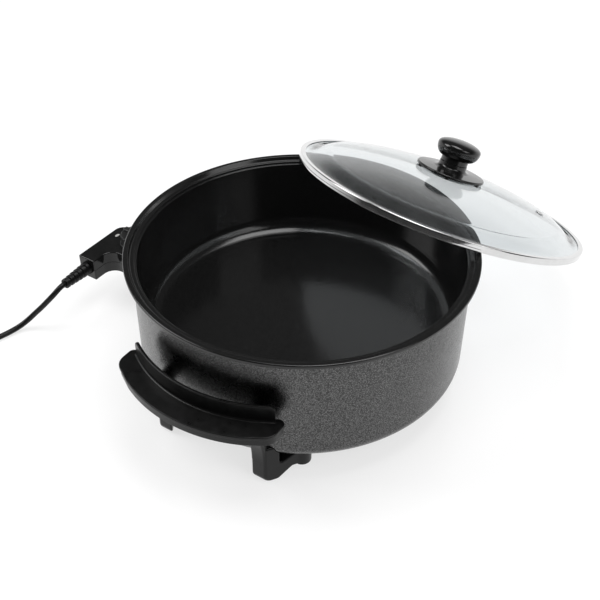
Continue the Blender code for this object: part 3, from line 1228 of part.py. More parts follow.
def make_dial(parent, material, steel):
    """Turning knob with a grip bar and a fluted drum, in its own frame."""
    bottom = SEAT_GAP
    skirt_top = bottom + DIAL_SKIRT_HEIGHT
    drum_top = skirt_top + DIAL_DRUM_HEIGHT
    dial = turned("dial_knob",
                  [(0, bottom), (DIAL_RADIUS, bottom), (DIAL_RADIUS, skirt_top - DIAL_FLUTE_DEPTH),
                   (DIAL_RADIUS - DIAL_FLUTE_DEPTH, skirt_top), (0, skirt_top)],
                  KNOB_SEGMENTS, material, parent)
    flutes = []
    for i in range(2 * DIAL_FLUTE_COUNT):
        angle = math.pi * i / DIAL_FLUTE_COUNT
        radius = DIAL_DRUM_RADIUS - (DIAL_FLUTE_DEPTH if i % 2 else 0)
        flutes.append((radius * math.cos(angle), radius * math.sin(angle)))
    drum = extruded("dial_drum_tool", flutes,
                    [(bottom + SEAT_GAP, 0), (drum_top - DIAL_FLUTE_DEPTH, 0),
                     (drum_top, DIAL_FLUTE_DEPTH)], None, parent)
    combine(dial, drum, "UNION")
    grip = extruded("dial_grip_tool",
                    rounded_box(DIAL_DRUM_RADIUS - 2 * DIAL_FLUTE_DEPTH, DIAL_GRIP_HALF_WIDTH,
                                DIAL_GRIP_HALF_WIDTH / 2),
                    [(skirt_top, 0), (drum_top + DIAL_GRIP_HEIGHT, 0),
                     (drum_top + DIAL_GRIP_HEIGHT + DIAL_FLUTE_DEPTH, DIAL_FLUTE_DEPTH)],
                    None, parent)
    combine(dial, grip, "UNION")
    bore = turned("dial_bore_tool",
                  [(0, bottom - OVERRUN), (DIAL_SHAFT_RADIUS + SEAT_GAP, bottom - OVERRUN),
                   (DIAL_SHAFT_RADIUS + SEAT_GAP, bottom + DIAL_SHAFT_GRIP + SEAT_GAP),
                   (0, bottom + DIAL_SHAFT_GRIP + SEAT_GAP)], SMALL_SEGMENTS, None, parent)
    combine(dial, bore, "DIFFERENCE")
    turned("dial_shaft",
           [(0, SEAT_GAP - DIAL_SHAFT_DEPTH), (DIAL_SHAFT_RADIUS, SEAT_GAP - DIAL_SHAFT_DEPTH),
            (DIAL_SHAFT_RADIUS, bottom + DIAL_SHAFT_GRIP), (0, bottom + DIAL_SHAFT_GRIP)],
           SMALL_SEGMENTS, steel, parent)
    return dial


# Cord

def boot_length():
    return BOOT_COLLAR_LENGTH + BOOT_RIB_COUNT * (BOOT_RIB_LENGTH + BOOT_GROOVE_LENGTH) + BOOT_TIP_FLANGE


def make_boot(parent, material):
    """Ribbed strain relief that leaves the tail's end along -Y."""
    length = boot_length()

    def core(distance):
        return BOOT_ROOT_RADIUS + (BOOT_END_RADIUS - BOOT_ROOT_RADIUS) * distance / length

    profile = [(0, 0), (BOOT_ROOT_RADIUS, 0)]
    distance = BOOT_COLLAR_LENGTH
    profile.append((core(distance), distance))
    for _ in range(BOOT_RIB_COUNT):
        profile.append((core(distance) - BOOT_RIB_PROUD, distance + BOOT_GROOVE_LENGTH / 4))
        distance += BOOT_GROOVE_LENGTH
        profile.append((core(distance) - BOOT_RIB_PROUD, distance - BOOT_GROOVE_LENGTH / 4))
        profile.append((core(distance), distance))
        distance += BOOT_RIB_LENGTH
        profile.append((core(distance), distance))
    profile += [(BOOT_TIP_FLANGE_RADIUS, distance), (BOOT_TIP_FLANGE_RADIUS, length), (0, length)]
    place = (Matrix.Translation((-BOOT_AXIS_REACH, -TAIL_END - SEAT_GAP, SOCKET_AXIS))
             @ Matrix.Rotation(math.pi / 2, 4, "X"))
    return turned("cord_boot", profile, SMALL_SEGMENTS, material, parent, place)


def from_boot(outwards, beyond, height):
    """Point beside the boot's free end."""
    return Vector((-BOOT_AXIS_REACH - outwards,
                   -TAIL_END - boot_length() - 2 * SEAT_GAP - beyond, height))


def coil_points():
    """Two layers of loops: in at the bottom, up, and out again on top."""
    per_loop = COIL_LOOP_STEPS
    layer = COIL_LAYER_COUNT * per_loop
    extra = round(per_loop * COIL_EXIT_TURN / 360)
    total = 2 * layer + extra
    centre = from_boot(COIL_OUTWARDS, COIL_BEYOND, 0)
    points = []
    for i in range(total + 1):
        angle = math.radians(COIL_ENTRY_ANGLE - 360 * i / per_loop)
        depth = min(i, layer) - max(i - layer, 0)
        share = depth / layer
        radius = COIL_OUTER_RADIUS - COIL_LOOP_PITCH * COIL_LAYER_COUNT * share
        climb = min(max((i - layer + per_loop / 4) / (per_loop / 2), 0), 1)
        climb = climb * climb * (3 - 2 * climb)
        points.append(centre + Vector((radius * math.cos(angle), radius * math.sin(angle),
                                       CORD_RADIUS + COIL_LAYER_PITCH * climb)))
    return points


def evenly(points, spacing):
    """Points along a dense line, about a given distance apart."""
    lengths = [(b - a).length for a, b in zip(points, points[1:])]
    count = max(round(sum(lengths) / spacing), 1)
    step = sum(lengths) / count
    result = [points[0]]
    walked = 0
    for a, b, length in zip(points, points[1:], lengths):
        while len(result) < count and walked + length >= len(result) * step:
            result.append(a.lerp(b, (len(result) * step - walked) / length))
        walked += length
    result.append(points[-1])
    return result


def free_cord(points):
    """A free stretch: straight at both ends and evenly spaced between them."""
    middle = smooth_route(points, CORD_FILL_STEPS)[CORD_FILL_STEPS:-CORD_FILL_STEPS]
    return [points[0]] + evenly(middle, 4 * CORD_RADIUS) + [points[-1]]


def least_gap(points, radius, skip):
    """Smallest gap between a tube's surface and its own other turns."""
    least = math.inf
    for i, a in enumerate(points):
        for j in range(i + skip, len(points) - 1):
            b, c = points[j], points[j + 1]
            step = c - b
            share = min(max((a - b).dot(step) / step.length_squared, 0), 1)
            least = min(least, (a - (b + step * share)).length)
    return least - 2 * radius


def make_cord(parent, rubber, steel):
    coil = coil_points()
    entry = (coil[0] - coil[1]).normalized()
    exit_ = (coil[-1] - coil[-2]).normalized()
    coil = [coil[0] + entry * 2 * CORD_RADIUS] + coil
    coil = coil + [coil[-1] + exit_ * 2 * CORD_RADIUS]
    tube("cord_coil", coil, CORD_RADIUS, 1, rubber, parent)
    gap = least_gap(coil, CORD_RADIUS, COIL_LOOP_STEPS // 2)
    print(f"least gap of the coil to itself: {gap / MM:.2f} mm")

    # The free cord starts straight out of the boot and ends at the coil
    boot_end = from_boot(0, 0, SOCKET_AXIS)
    join = coil[0] + entry * SEAT_GAP
    straight = Vector((0, -2 * CORD_RADIUS, 0))
    route = [boot_end, boot_end + straight] + [from_boot(*p) for p in CORD_ROUTE]
    route += [join + entry * 2 * CORD_RADIUS, join]
    tube("cord", free_cord(route), CORD_RADIUS, 2, rubber, parent)

    # A second free length rises from the coil to the plug's tail
    start = coil[-1] + exit_ * SEAT_GAP
    flat = Vector((exit_.x, exit_.y, 0)).normalized()
    end = start + flat * PLUG_LEAD
    end.z = PLUG_AXIS_HEIGHT
    lead = [start, start + exit_ * 2 * CORD_RADIUS, end - flat * 2 * CORD_RADIUS, end]
    tube("cord_plug_lead", free_cord(lead), CORD_RADIUS, 2, rubber, parent)
    make_plug(parent, rubber, steel, end + flat * SEAT_GAP, flat)


def make_plug(parent, rubber, steel, start, flat):
    """Round two-pin plug with side earth strips, its axis along the cord."""
    turn = math.atan2(flat.y, flat.x)
    place = (Matrix.Translation(start) @ Matrix.Rotation(turn, 4, "Z")
             @ Matrix.Rotation(math.pi / 2, 4, "Y"))
    neck = PLUG_TAIL_LENGTH
    shoulder = neck + PLUG_NECK_LENGTH
    face = shoulder + PLUG_FACE_LENGTH
    profile = [(0, 0), (PLUG_TAIL_RADIUS - PLUG_EDGE, 0), (PLUG_TAIL_RADIUS, PLUG_EDGE),
               (PLUG_TAIL_RADIUS + PLUG_EDGE / 2, neck), (PLUG_NECK_RADIUS, neck + PLUG_EDGE),
               (PLUG_FACE_RADIUS - PLUG_EDGE, shoulder), (PLUG_FACE_RADIUS, shoulder + PLUG_EDGE),
               (PLUG_FACE_RADIUS, face - PLUG_EDGE), (PLUG_FACE_RADIUS - PLUG_EDGE, face),
               (0, face)]
    body = turned("plug_body", profile, KNOB_SEGMENTS, rubber, parent, place)

    tools = bmesh.new()
    half = PLUG_CLIP_WIDTH / 2
    for side, word in ((-1, "left"), (1, "right")):
        at = place @ Matrix.Translation((0, side * PLUG_PIN_HALF_SPACING, 0))
        add_lathe(tools, pin_profile(PLUG_PIN_RADIUS + SEAT_GAP, face - PLUG_PIN_ROOT - SEAT_GAP,
                                     face + OVERRUN, SEAT_GAP), SCREW_SEGMENTS, at)
        turned(f"plug_pin_{word}",
               pin_profile(PLUG_PIN_RADIUS, face - PLUG_PIN_ROOT, face + PLUG_PIN_LENGTH,
                           PLUG_PIN_RADIUS / 2), SCREW_SEGMENTS, steel, parent, at)
        slot_floor = side * (PLUG_FACE_RADIUS - PLUG_SLOT_DEPTH)
        slot_mouth = side * (PLUG_FACE_RADIUS + OVERRUN)
        strip_in = slot_floor + side * SEAT_GAP
        strip_out = strip_in + side * PLUG_CLIP_THICKNESS
        add_prism(tools, [(slot_floor, -half - SEAT_GAP), (slot_mouth, -half - SEAT_GAP),
                          (slot_mouth, half + SEAT_GAP), (slot_floor, half + SEAT_GAP)][::side],
                  [(face - PLUG_CLIP_LENGTH - SEAT_GAP, 0), (face + OVERRUN, 0)], place)
        extruded(f"plug_earth_clip_{word}",
                 [(strip_in, -half), (strip_out, -half), (strip_out, half),
                  (strip_in, half)][::side],
                 [(face - PLUG_CLIP_LENGTH, 0), (face - PLUG_EDGE, 0)], steel, parent, place)
    combine(body, finish("plug_slot_tool", tools, None, parent), "DIFFERENCE")


def main():
    for thing in list(bpy.data.objects):
        bpy.data.objects.remove(thing, do_unlink=True)

    nonstick = paint("nonstick_black", (0.03, 0.03, 0.032), 0.35)
    hammered = paint("hammered_grey", (0.09, 0.09, 0.095), 0.5, 0.4)
    plastic = paint("matt_black_plastic", (0.02, 0.02, 0.021), 0.5)
    gloss = paint("gloss_black_plastic", (0.015, 0.015, 0.016), 0.15)
    steel = paint("steel", (0.7, 0.7, 0.7), 0.25, 1.0)
    brass = paint("brass", (0.75, 0.6, 0.3), 0.3, 1.0)
    glass = paint("glass", (0.85, 0.92, 0.9), 0.03, 0.0, 0.9)
    clear = paint("clear_silicone", (0.85, 0.85, 0.85), 0.3, 0.0, 0.6)
    grey = paint("grey_washer", (0.5, 0.52, 0.53), 0.5)
    lens = paint("pilot_lens", (0.75, 0.72, 0.7), 0.2)
    rubber = paint("cord_rubber", (0.02, 0.02, 0.02), 0.55)

    skillet = group("skillet", None, (PAN_AXIS_X, PAN_AXIS_Y, 0))
    body = group("pan_frame", skillet)
    make_pan(body, nonstick)
    make_casing(body, hammered)
    make_tie_bolt(body, steel)
    make_element(body, steel)
    make_element_clips(body, steel)
    make_socket(body, plastic, steel, brass)
    make_handle("handle_front", body, plastic)
    rear = group("rear_handle_frame", body, (0, 0, 0), (0, 0, math.pi))
    make_handle("handle_rear", rear, plastic)
    make_handle_fixings(body, steel)

    azimuth = math.radians(LID_AZIMUTH)
    lid = group("lid_frame", skillet,
                (LID_OFFSET * math.cos(azimuth), LID_OFFSET * math.sin(azimuth), lid_height()),
                (0, math.radians(LID_TILT), azimuth))
    make_lid_glass(lid, glass)
    make_lid_band(lid, steel)
    make_vent(lid, steel)
    make_knob(lid, gloss, clear, steel, grey)

    thermostat = group("thermostat_frame", skillet)
    make_thermostat(thermostat, gloss, steel, brass, lens)
    dial = group("dial_frame", thermostat, (-DIAL_AXIS_REACH, DIAL_AXIS_SIDE, HOUSING_TOP))
    make_dial(dial, plastic, steel)
    make_boot(thermostat, rubber)
    make_cord(thermostat, rubber, steel)


main()
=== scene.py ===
"""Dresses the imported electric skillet: fine meshes and materials over its frame.

Lengths are millimetres beside the pan's axis until finish_piece turns them into
metres. The front handle points to -Y and the thermostat plugs in from -X.
"""

import math

import bmesh
import bpy
from mathutils import Matrix, Vector


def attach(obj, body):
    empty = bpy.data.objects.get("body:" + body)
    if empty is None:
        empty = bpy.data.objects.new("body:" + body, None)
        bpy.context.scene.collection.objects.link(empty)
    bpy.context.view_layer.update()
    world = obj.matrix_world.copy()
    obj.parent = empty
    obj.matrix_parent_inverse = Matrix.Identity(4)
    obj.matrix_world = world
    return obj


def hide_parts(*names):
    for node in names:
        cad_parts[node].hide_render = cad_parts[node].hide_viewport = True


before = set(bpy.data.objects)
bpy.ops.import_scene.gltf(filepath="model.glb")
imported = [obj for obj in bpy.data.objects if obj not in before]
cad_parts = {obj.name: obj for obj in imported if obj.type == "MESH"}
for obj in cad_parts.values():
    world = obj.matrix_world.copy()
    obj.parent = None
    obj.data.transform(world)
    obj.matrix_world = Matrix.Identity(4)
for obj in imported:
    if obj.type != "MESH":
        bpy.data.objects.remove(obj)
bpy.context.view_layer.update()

MM = 0.001
GAP = 0.3                    # between faces that touch

# Facets
ROUND = 192                  # pan, casing and lid
MEDIUM = 72                  # knob, dial and plug
FINE = 48                    # strain relief and bosses
SMALL = 32                   # pins and screws

PAST = 6                     # how far a cutting shape reaches past a face

# Where the pan's axis stands in the frame
PAN_PLACE = Matrix.Translation((29.5, -85.3, 0))

# Pan and casing: heights from the table, radii from the pan's axis
RIM_RADIUS = 200
RIM_TOP = 178.5
RIM_BOTTOM = 173.5
HOOK_BOTTOM = 172.5          # the casing's top edge ends under it
SEAT_TOP = 174.3             # flat between the step and the rim's inner slope
STEP_TOP = 171.5
FLOOR_RADIUS = 183.5
FLOOR_TOP = 75.5
PAN_THICKNESS = 4
PAN_UNDERSIDE = FLOOR_TOP - PAN_THICKNESS
BOLT_PAD_RADIUS = 10
BOLT_PAD_BOTTOM = 62.5
BOLT_HOLE = 3.4
BOLT_HOLE_TOP = 69.8
CASING_RADIUS = 191.0
CASING_WALL = 1.5
CASING_CORNER = 18
CASING_BOTTOM = 33.5

# Socket in the casing's side, and the block that takes the probe
SOCKET_AXIS = 58.5
SOCKET_HALF_WIDTH = 29
SOCKET_HALF_HEIGHT = 17
SOCKET_CORNER = 6
SOCKET_WALL = 2.5
SOCKET_SCREW_SPREAD = 34     # round the casing, from the socket's middle
PROBE_BLOCK_START = 126
PROBE_BLOCK_END = 172
PROBE_HOLE = 3.3
PROBE_HOLE_START = 129
SCREW_HOLE = 2.5
PILOT_HOLE = 1.9

# Handles, shared with the casing's screw holes
SHELF_TOP = 109.0
SHELF_BOTTOM = SHELF_TOP - 12.5
SHELF_REACH = 241
SHELF_ARC = 171
SHELF_CENTRE = SHELF_REACH - SHELF_ARC
SHELF_HALF_LENGTH = 101
SHELF_CORNER = 18
SHELF_INNER_CORNER = 7
SHELF_PLATE = 3.5
SHELF_LIP = 4
SHELF_SET_BACK = 1.2         # of the skirt under the lip
SHELF_SKIRT = 3
GUARD_ARC = 165
GUARD_REACH = 215
GUARD_CENTRE = GUARD_REACH - GUARD_ARC
GUARD_THICKNESS = 4
GUARD_HEIGHT = 20.5
GUARD_HALF_LENGTH = 91
GUARD_CORNER = 7
GUARD_FILLET = 2.5
GUARD_EDGE = 1.1
APRON_BOTTOM = SHELF_BOTTOM - 14
APRON_THICKNESS = 3
RIB_HALF_THICKNESS = 1
RIB_PLACES = (-0.36, 0.0, 0.36)  # shares of the shelf's length
LEG_INNER = 55
LEG_WIDTH = 18.5
LEG_DEPTH = 18
LEG_REACH = math.sqrt(CASING_RADIUS ** 2 - LEG_INNER ** 2) + GAP
FOOT_LENGTH = 16
STRUT_TOP = 24.5
BRACKET_REACH = 218
BRACKET_INNER_SWEEP = 49
BOSS_SIDE = 93
BOSS_REACH = math.sqrt((CASING_RADIUS - 22) ** 2 - BOSS_SIDE ** 2)
BOSS_RADIUS = 10.5
BOSS_BORE = 6
BOSS_WEB = 6
BOSS_BOTTOM = CASING_BOTTOM - 20
HANDLE_ROOM = 0.6            # between a handle and the casing's side


def link(name, data):
    """New object of the scene from its data."""
    thing = bpy.data.objects.new(name, data)
    bpy.context.scene.collection.objects.link(thing)
    return thing


# Camera, fitted to the rim's ellipse and the front handle

CAMERA_PLACE = (0.4990, -0.8139, 0.8007)
CAMERA_FORWARD = (-0.42239, 0.65221, -0.62946)
CAMERA_UP = (-0.34824, 0.52438, 0.77702)
CAMERA_LENS = 56.95


def make_camera():
    forward = Vector(CAMERA_FORWARD).normalized()
    up = Vector(CAMERA_UP).normalized()
    turn = Matrix((forward.cross(up), up, -forward)).transposed().to_4x4()
    data = bpy.data.cameras.new("camera")
    data.lens = CAMERA_LENS
    data.sensor_width = 36.0
    data.clip_start = 0.01
    data.clip_end = 30.0
    camera = link("camera", data)
    camera.matrix_world = Matrix.Translation(CAMERA_PLACE) @ turn
    bpy.context.scene.camera = camera


make_camera()


# Outline helpers

def arc(centre, radius, start, end, steps):
    """Points on an arc, angles in degrees, both ends included."""
    points = []
    for i in range(steps + 1):
        angle = math.radians(start + (end - start) * i / steps)
        points.append((centre[0] + radius * math.cos(angle),
                       centre[1] + radius * math.sin(angle)))
    return points


def rounded(corners, steps=8):
    """Outline through (x, y, radius) corners, each rounded by its radius."""
    outline = []
    count = len(corners)
    for i, (x, y, radius) in enumerate(corners):
        here = Vector((x, y))
        if radius <= 0:
            outline.append((x, y))
            continue
        before = Vector(corners[i - 1][:2]) - here
        after = Vector(corners[(i + 1) % count][:2]) - here
        half = before.angle(after) / 2
        reach = min(radius / math.tan(half), before.length / 2, after.length / 2)
        used = reach * math.tan(half)
        bisector = (before.normalized() + after.normalized()).normalized()
        centre = here + bisector * (used / math.sin(half))
        first = here + before.normalized() * reach - centre
        sweep = first.angle_signed(here + after.normalized() * reach - centre)
        for step in range(steps + 1):
            point = centre + Matrix.Rotation(-sweep * step / steps, 2) @ first
            outline.append((point.x, point.y))
    return outline


def rounded_box(half_x, half_y, radius, steps=8):
    return rounded([(half_x, -half_y, radius), (half_x, half_y, radius),
                    (-half_x, half_y, radius), (-half_x, -half_y, radius)], steps)


def inset(outline, distance):
    """Counter-clockwise outline moved inwards by a distance."""
    moved = []
    count = len(outline)
    for i in range(count):
        here = Vector(outline[i])
        along_in = (here - Vector(outline[i - 1])).normalized()
        along_out = (Vector(outline[(i + 1) % count]) - here).normalized()
        normal_in = Vector((-along_in.y, along_in.x))
        normal_out = Vector((-along_out.y, along_out.x))
        middle = (normal_in + normal_out).normalized()
        moved.append(tuple(here + middle * (distance / max(middle.dot(normal_in), 0.3))))
    return moved


def edge_levels(bottom, top, bottom_edge, top_edge, extra=0.0, steps=4):
    """(height, inset) levels of a prism with rounded bottom and top edges."""
    levels = []
    for i in range(steps + 1):
        turn = math.pi / 2 * i / steps
        levels.append((bottom + bottom_edge * (1 - math.cos(turn)),
                       extra + bottom_edge * (1 - math.sin(turn))))
    for i in range(steps + 1):
        turn = math.pi / 2 * i / steps
        levels.append((top - top_edge * (1 - math.sin(turn)),
                       extra + top_edge * (1 - math.cos(turn))))
    return levels


def smooth_route(points, steps):
    """Catmull-Rom curve through the route's points."""
    route = [Vector(p) for p in points]
    curve = []
    for i in range(len(route) - 1):
        p1, p2 = route[i], route[i + 1]
        p0 = route[i - 1] if i else p1 + (p1 - p2)
        p3 = route[i + 2] if i + 2 < len(route) else p2 + (p2 - p1)
        for step in range(steps):
            t = step / steps
            curve.append(0.5 * ((2 * p1) + (p2 - p0) * t
                                + (2 * p0 - 5 * p1 + 4 * p2 - p3) * t ** 2
                                + (3 * p1 - p0 - 3 * p2 + p3) * t ** 3))
    curve.append(route[-1])
    return curve


# Mesh helpers

def add_lathe(mesh, profile, segments, place=Matrix()):
    """Turn a closed (radius, height) profile about Z. Radius 0 is a pole."""
    rings = []
    for radius, height in profile:
        if radius <= 0:
            rings.append([mesh.verts.new(place @ Vector((0, 0, height)))])
            continue
        ring = []
        for i in range(segments):
            angle = 2 * math.pi * i / segments
            ring.append(mesh.verts.new(place @ Vector(
                (radius * math.cos(angle), radius * math.sin(angle), height))))
        rings.append(ring)
    for i, ring in enumerate(rings):
        other = rings[(i + 1) % len(rings)]
        if len(ring) == 1 and len(other) == 1:
            continue
        for j in range(segments):
            k = (j + 1) % segments
            if len(ring) == 1:
                mesh.faces.new((ring[0], other[k], other[j]))
            elif len(other) == 1:
                mesh.faces.new((ring[j], ring[k], other[0]))
            else:
                mesh.faces.new((ring[j], ring[k], other[k], other[j]))


def add_prism(mesh, outline, levels, place=Matrix()):
    """Stack copies of an outline at (height, inset) levels and close them."""
    rings = []
    for height, amount in levels:
        shape = inset(outline, amount) if amount else outline
        rings.append([place @ Vector((x, y, height)) for x, y in shape])
    add_skin(mesh, rings)


def add_skin(mesh, rings):
    """Join closed rings of points in a row and cap both ends."""
    loops = [[mesh.verts.new(p) for p in ring] for ring in rings]
    for near, far in zip(loops, loops[1:]):
        for j in range(len(near)):
            k = (j + 1) % len(near)
            mesh.faces.new((near[j], near[k], far[k], far[j]))
    mesh.faces.new(list(reversed(loops[0])))
    mesh.faces.new(loops[-1])


def as_object(mesh, name="tool"):
    """Object in millimetres from a bmesh, with its normals turned outwards."""
    bmesh.ops.recalc_face_normals(mesh, faces=mesh.faces)
    data = bpy.data.meshes.new(name)
    mesh.to_mesh(data)
    mesh.free()
    return link(name, data)


def lathe(profile, segments=ROUND, place=Matrix()):
    mesh = bmesh.new()
    add_lathe(mesh, profile, segments, place)
    return as_object(mesh)


def prism(outline, levels, place=Matrix()):
    mesh = bmesh.new()
    add_prism(mesh, outline, levels, place)
    return as_object(mesh)


def combine(target, tool, operation):
    """Boolean with another object, which is used up."""
    modifier = target.modifiers.new("boolean", "BOOLEAN")
    modifier.operation = operation
    modifier.solver = "MANIFOLD"
    modifier.object = tool
    bpy.context.view_layer.update()
    depsgraph = bpy.context.evaluated_depsgraph_get()
    result = bpy.data.meshes.new_from_object(target.evaluated_get(depsgraph))
    target.modifiers.remove(modifier)
    if not result.vertices:
        raise RuntimeError(f"the boolean on {target.name} left nothing")
    old = target.data
    target.data = result
    bpy.data.meshes.remove(old)
    bpy.data.objects.remove(tool, do_unlink=True)


def join(target, tool):
    combine(target, tool, "UNION")


def cut(target, tool):
    combine(target, tool, "DIFFERENCE")


def finish_piece(thing, name, material, body, nodes=(), place=PAN_PLACE, smooth=32):
    """Put a piece at its place in metres, and hand it to its body."""
    thing.name = name
    thing.data.name = name
    thing.data.transform(Matrix.Scale(MM, 4) @ place)
    thing.data.shade_smooth()
    thing.data.set_sharp_from_angle(angle=math.radians(smooth))
    weighted = thing.modifiers.new("even_normals", "WEIGHTED_NORMAL")
    weighted.keep_sharp = True
    thing.data.materials.clear()
    thing.data.materials.append(material)
    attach(thing, body)
    if nodes:
        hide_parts(*nodes)
    return thing


def towards_socket(distance, side=0.0, height=SOCKET_AXIS):
    """Place whose local Z points to -X, out of the socket."""
    return Matrix.Translation((-distance, side, height)) @ Matrix.Rotation(-math.pi / 2, 4, "Y")


def drum(radius, low, high):
    """Profile of a plain cylinder."""
    return [(0, low), (radius, low), (radius, high), (0, high)]


def pin_profile(radius, start, end, tip):
    """Profile of a cylinder whose far edge is cut off by the tip's size."""
    return [(0, start), (radius, start), (radius, end - tip), (radius - tip, end), (0, end)]


# Materials

def new_material(name, slot, **sockets):
    """Principled material with values set on its own sockets."""
    material = bpy.data.materials.new(name)
    material.use_nodes = True
    material["slot"] = slot
    tree = material.node_tree
    shader = tree.nodes["Principled BSDF"]
    for socket, value in sockets.items():
        shader.inputs[socket.replace("_", " ")].default_value = value
    return material, tree, shader


def add_node(tree, kind, inputs=None, **settings):
    node = tree.nodes.new(kind)
    for key, value in settings.items():
        setattr(node, key, value)
    for key, value in (inputs or {}).items():
        if isinstance(value, bpy.types.NodeSocket):
            tree.links.new(value, node.inputs[key])
        else:
            node.inputs[key].default_value = value
    return node


def ramp(tree, factor, stops):
    """Colours by factor: stops are (position, (r, g, b))."""
    node = add_node(tree, "ShaderNodeValToRGB", {"Fac": factor})
    elements = node.color_ramp.elements
    while len(elements) < len(stops):
        elements.new(0.5)
    for element, (position, colour) in zip(elements, stops):
        element.position = position
        element.color = (*colour, 1)
    return node.outputs["Color"]


def spread(tree, factor, low, high, start=0.3, end=0.7):
    node = add_node(tree, "ShaderNodeMapRange", {
        "Value": factor, "From Min": start, "From Max": end, "To Min": low, "To Max": high})
    return node.outputs["Result"]


def noise(tree, vector, scale, detail=3.0, roughness=0.55):
    return add_node(tree, "ShaderNodeTexNoise", {
        "Vector": vector, "Scale": scale, "Detail": detail, "Roughness": roughness}).outputs[0]


def reckon(tree, operation, first, second, kind="ShaderNodeMath"):
    """One sum, product or maximum of two values or sockets."""
    return add_node(tree, kind, {0: first, 1: second}, operation=operation).outputs[0]


def bump(tree, height, depth, **inputs):
    """Normal of a relief whose depth is in millimetres."""
    return add_node(tree, "ShaderNodeBump", {
        "Strength": 1.0, "Distance": depth * MM, "Height": height, **inputs}).outputs["Normal"]


def mix_surface(tree, factor, first, second):
    """The material's output: two shaders mixed by a factor."""
    mix = add_node(tree, "ShaderNodeMixShader", {0: factor, 1: first, 2: second})
    tree.links.new(mix.outputs[0], tree.nodes["Material Output"].inputs["Surface"])


def place_of(tree):
    return add_node(tree, "ShaderNodeTexCoord").outputs["Object"]


def surface(name, slot, dark, light, mottle, rough, grain, depth, **sockets):
    """Mottled colour, uneven gloss and a fine grain, sized in millimetres."""
    material, tree, shader = new_material(name, slot, **sockets)
    at = place_of(tree)
    patches = noise(tree, at, 1000 / mottle)
    grains = noise(tree, at, 1000 / grain, 2.0)
    shade = reckon(tree, "MULTIPLY", reckon(tree, "ADD", patches, grains), 0.5)
    tree.links.new(ramp(tree, shade, [(0.36, dark), (0.64, light)]), shader.inputs["Base Color"])
    tree.links.new(spread(tree, patches, *rough), shader.inputs["Roughness"])
    tree.links.new(bump(tree, grains, depth), shader.inputs["Normal"])
    return material


def grey(value, warmth=0.0):
    return (value * (1 + warmth), value, value * (1 - warmth))


def make_hammered():
    """Hammered metallic paint: rounded dimples and light flecks in dark grey."""
    material, tree, shader = new_material("hammered_paint", "hammered_paint", Metallic=1.0)
    at = place_of(tree)
    wander = reckon(tree, "MULTIPLY", (0.0009, 0.0009, 0.0009), noise(tree, at, 420.0, 2.0),
                    "ShaderNodeVectorMath")
    bent = reckon(tree, "ADD", at, wander, "ShaderNodeVectorMath")
    cells = add_node(tree, "ShaderNodeTexVoronoi", {"Vector": bent, "Scale": 800.0,
                                                    "Smoothness": 0.35}, feature="SMOOTH_F1")
    dimples = cells.outputs["Distance"]
    grains = noise(tree, at, 1700.0, 2.0, 0.6)
    shade = reckon(tree, "MULTIPLY", reckon(tree, "ADD", dimples, grains), 0.5)
    colour = ramp(tree, shade, [(0.30, grey(0.22)), (0.42, grey(0.117)), (0.58, grey(0.05))])
    tree.links.new(colour, shader.inputs["Base Color"])
    tree.links.new(spread(tree, noise(tree, at, 35.0), 0.25, 0.30), shader.inputs["Roughness"])
    fine = bump(tree, grains, 0.03, Normal=bump(tree, dimples, 0.08))
    tree.links.new(fine, shader.inputs["Normal"])
    return material


def make_glass():
    """Clear glass that lets light and shadow rays straight through."""
    material, tree, shader = new_material("lid_glass", "glass", Transmission_Weight=1.0,
                                          IOR=1.45)
    at = place_of(tree)
    film = noise(tree, at, 9.0)
    tree.links.new(ramp(tree, film, [(0.3, (0.70, 0.735, 0.75)), (0.7, (0.73, 0.76, 0.77))]),
                   shader.inputs["Base Color"])
    tree.links.new(spread(tree, noise(tree, at, 120.0), 0.0, 0.02), shader.inputs["Roughness"])
    paths = add_node(tree, "ShaderNodeLightPath").outputs
    either = reckon(tree, "MAXIMUM", paths["Is Shadow Ray"], paths["Is Diffuse Ray"])
    clear = add_node(tree, "ShaderNodeBsdfTransparent", {"Color": (0.86, 0.88, 0.89, 1)})
    mix_surface(tree, either, shader.outputs[0], clear.outputs[0])
    return material


# Name, slot, darkest and lightest colour, mottle's size, gloss, grain's size and depth
NONSTICK = surface("nonstick_coating", "nonstick", grey(0.004), grey(0.010), 2.2,
                   (0.12, 0.20), 0.5, 0.006, Specular_IOR_Level=0.46)
HAMMERED = make_hammered()
STEEL = surface("plain_steel", "steel", grey(0.50), grey(0.62), 6.0, (0.22, 0.36), 0.4, 0.006,
                Metallic=1.0)
SHEATH = surface("element_sheath", "element_sheath", grey(0.16, 0.06), grey(0.30, 0.03), 5.0,
                 (0.35, 0.55), 0.5, 0.02, Metallic=0.9)
HANDLE = surface("handle_phenolic", "handle_plastic", grey(0.0022), grey(0.005), 9.0,
                 (0.27, 0.36), 0.35, 0.012, Specular_IOR_Level=0.26)
BRASS = surface("brass", "brass", (0.55, 0.38, 0.14), (0.68, 0.50, 0.22), 3.0, (0.2, 0.4),
                0.3, 0.004, Metallic=1.0)
GLASS = make_glass()
BAND = surface("band_steel", "band_steel", grey(0.66), grey(0.74), 12.0, (0.05, 0.10), 0.5,
               0.002, Metallic=1.0)
CLEAR = surface("clear_silicone", "clear_silicone", grey(0.62), grey(0.74), 5.0, (0.25, 0.4),
                0.6, 0.01, Transmission_Weight=0.35, IOR=1.42)
WASHER = surface("grey_silicone", "grey_silicone", (0.30, 0.33, 0.345), (0.37, 0.40, 0.415),
                 6.0, (0.45, 0.6), 0.5, 0.01)
KNOB = surface("knob_plastic", "knob_plastic", grey(0.004), grey(0.008), 14.0, (0.10, 0.17),
               1.2, 0.004, Specular_IOR_Level=0.5)
HOUSING = surface("housing_plastic", "housing_plastic", grey(0.0045), grey(0.009), 10.0,
                  (0.09, 0.15), 0.8, 0.003, Specular_IOR_Level=0.42)
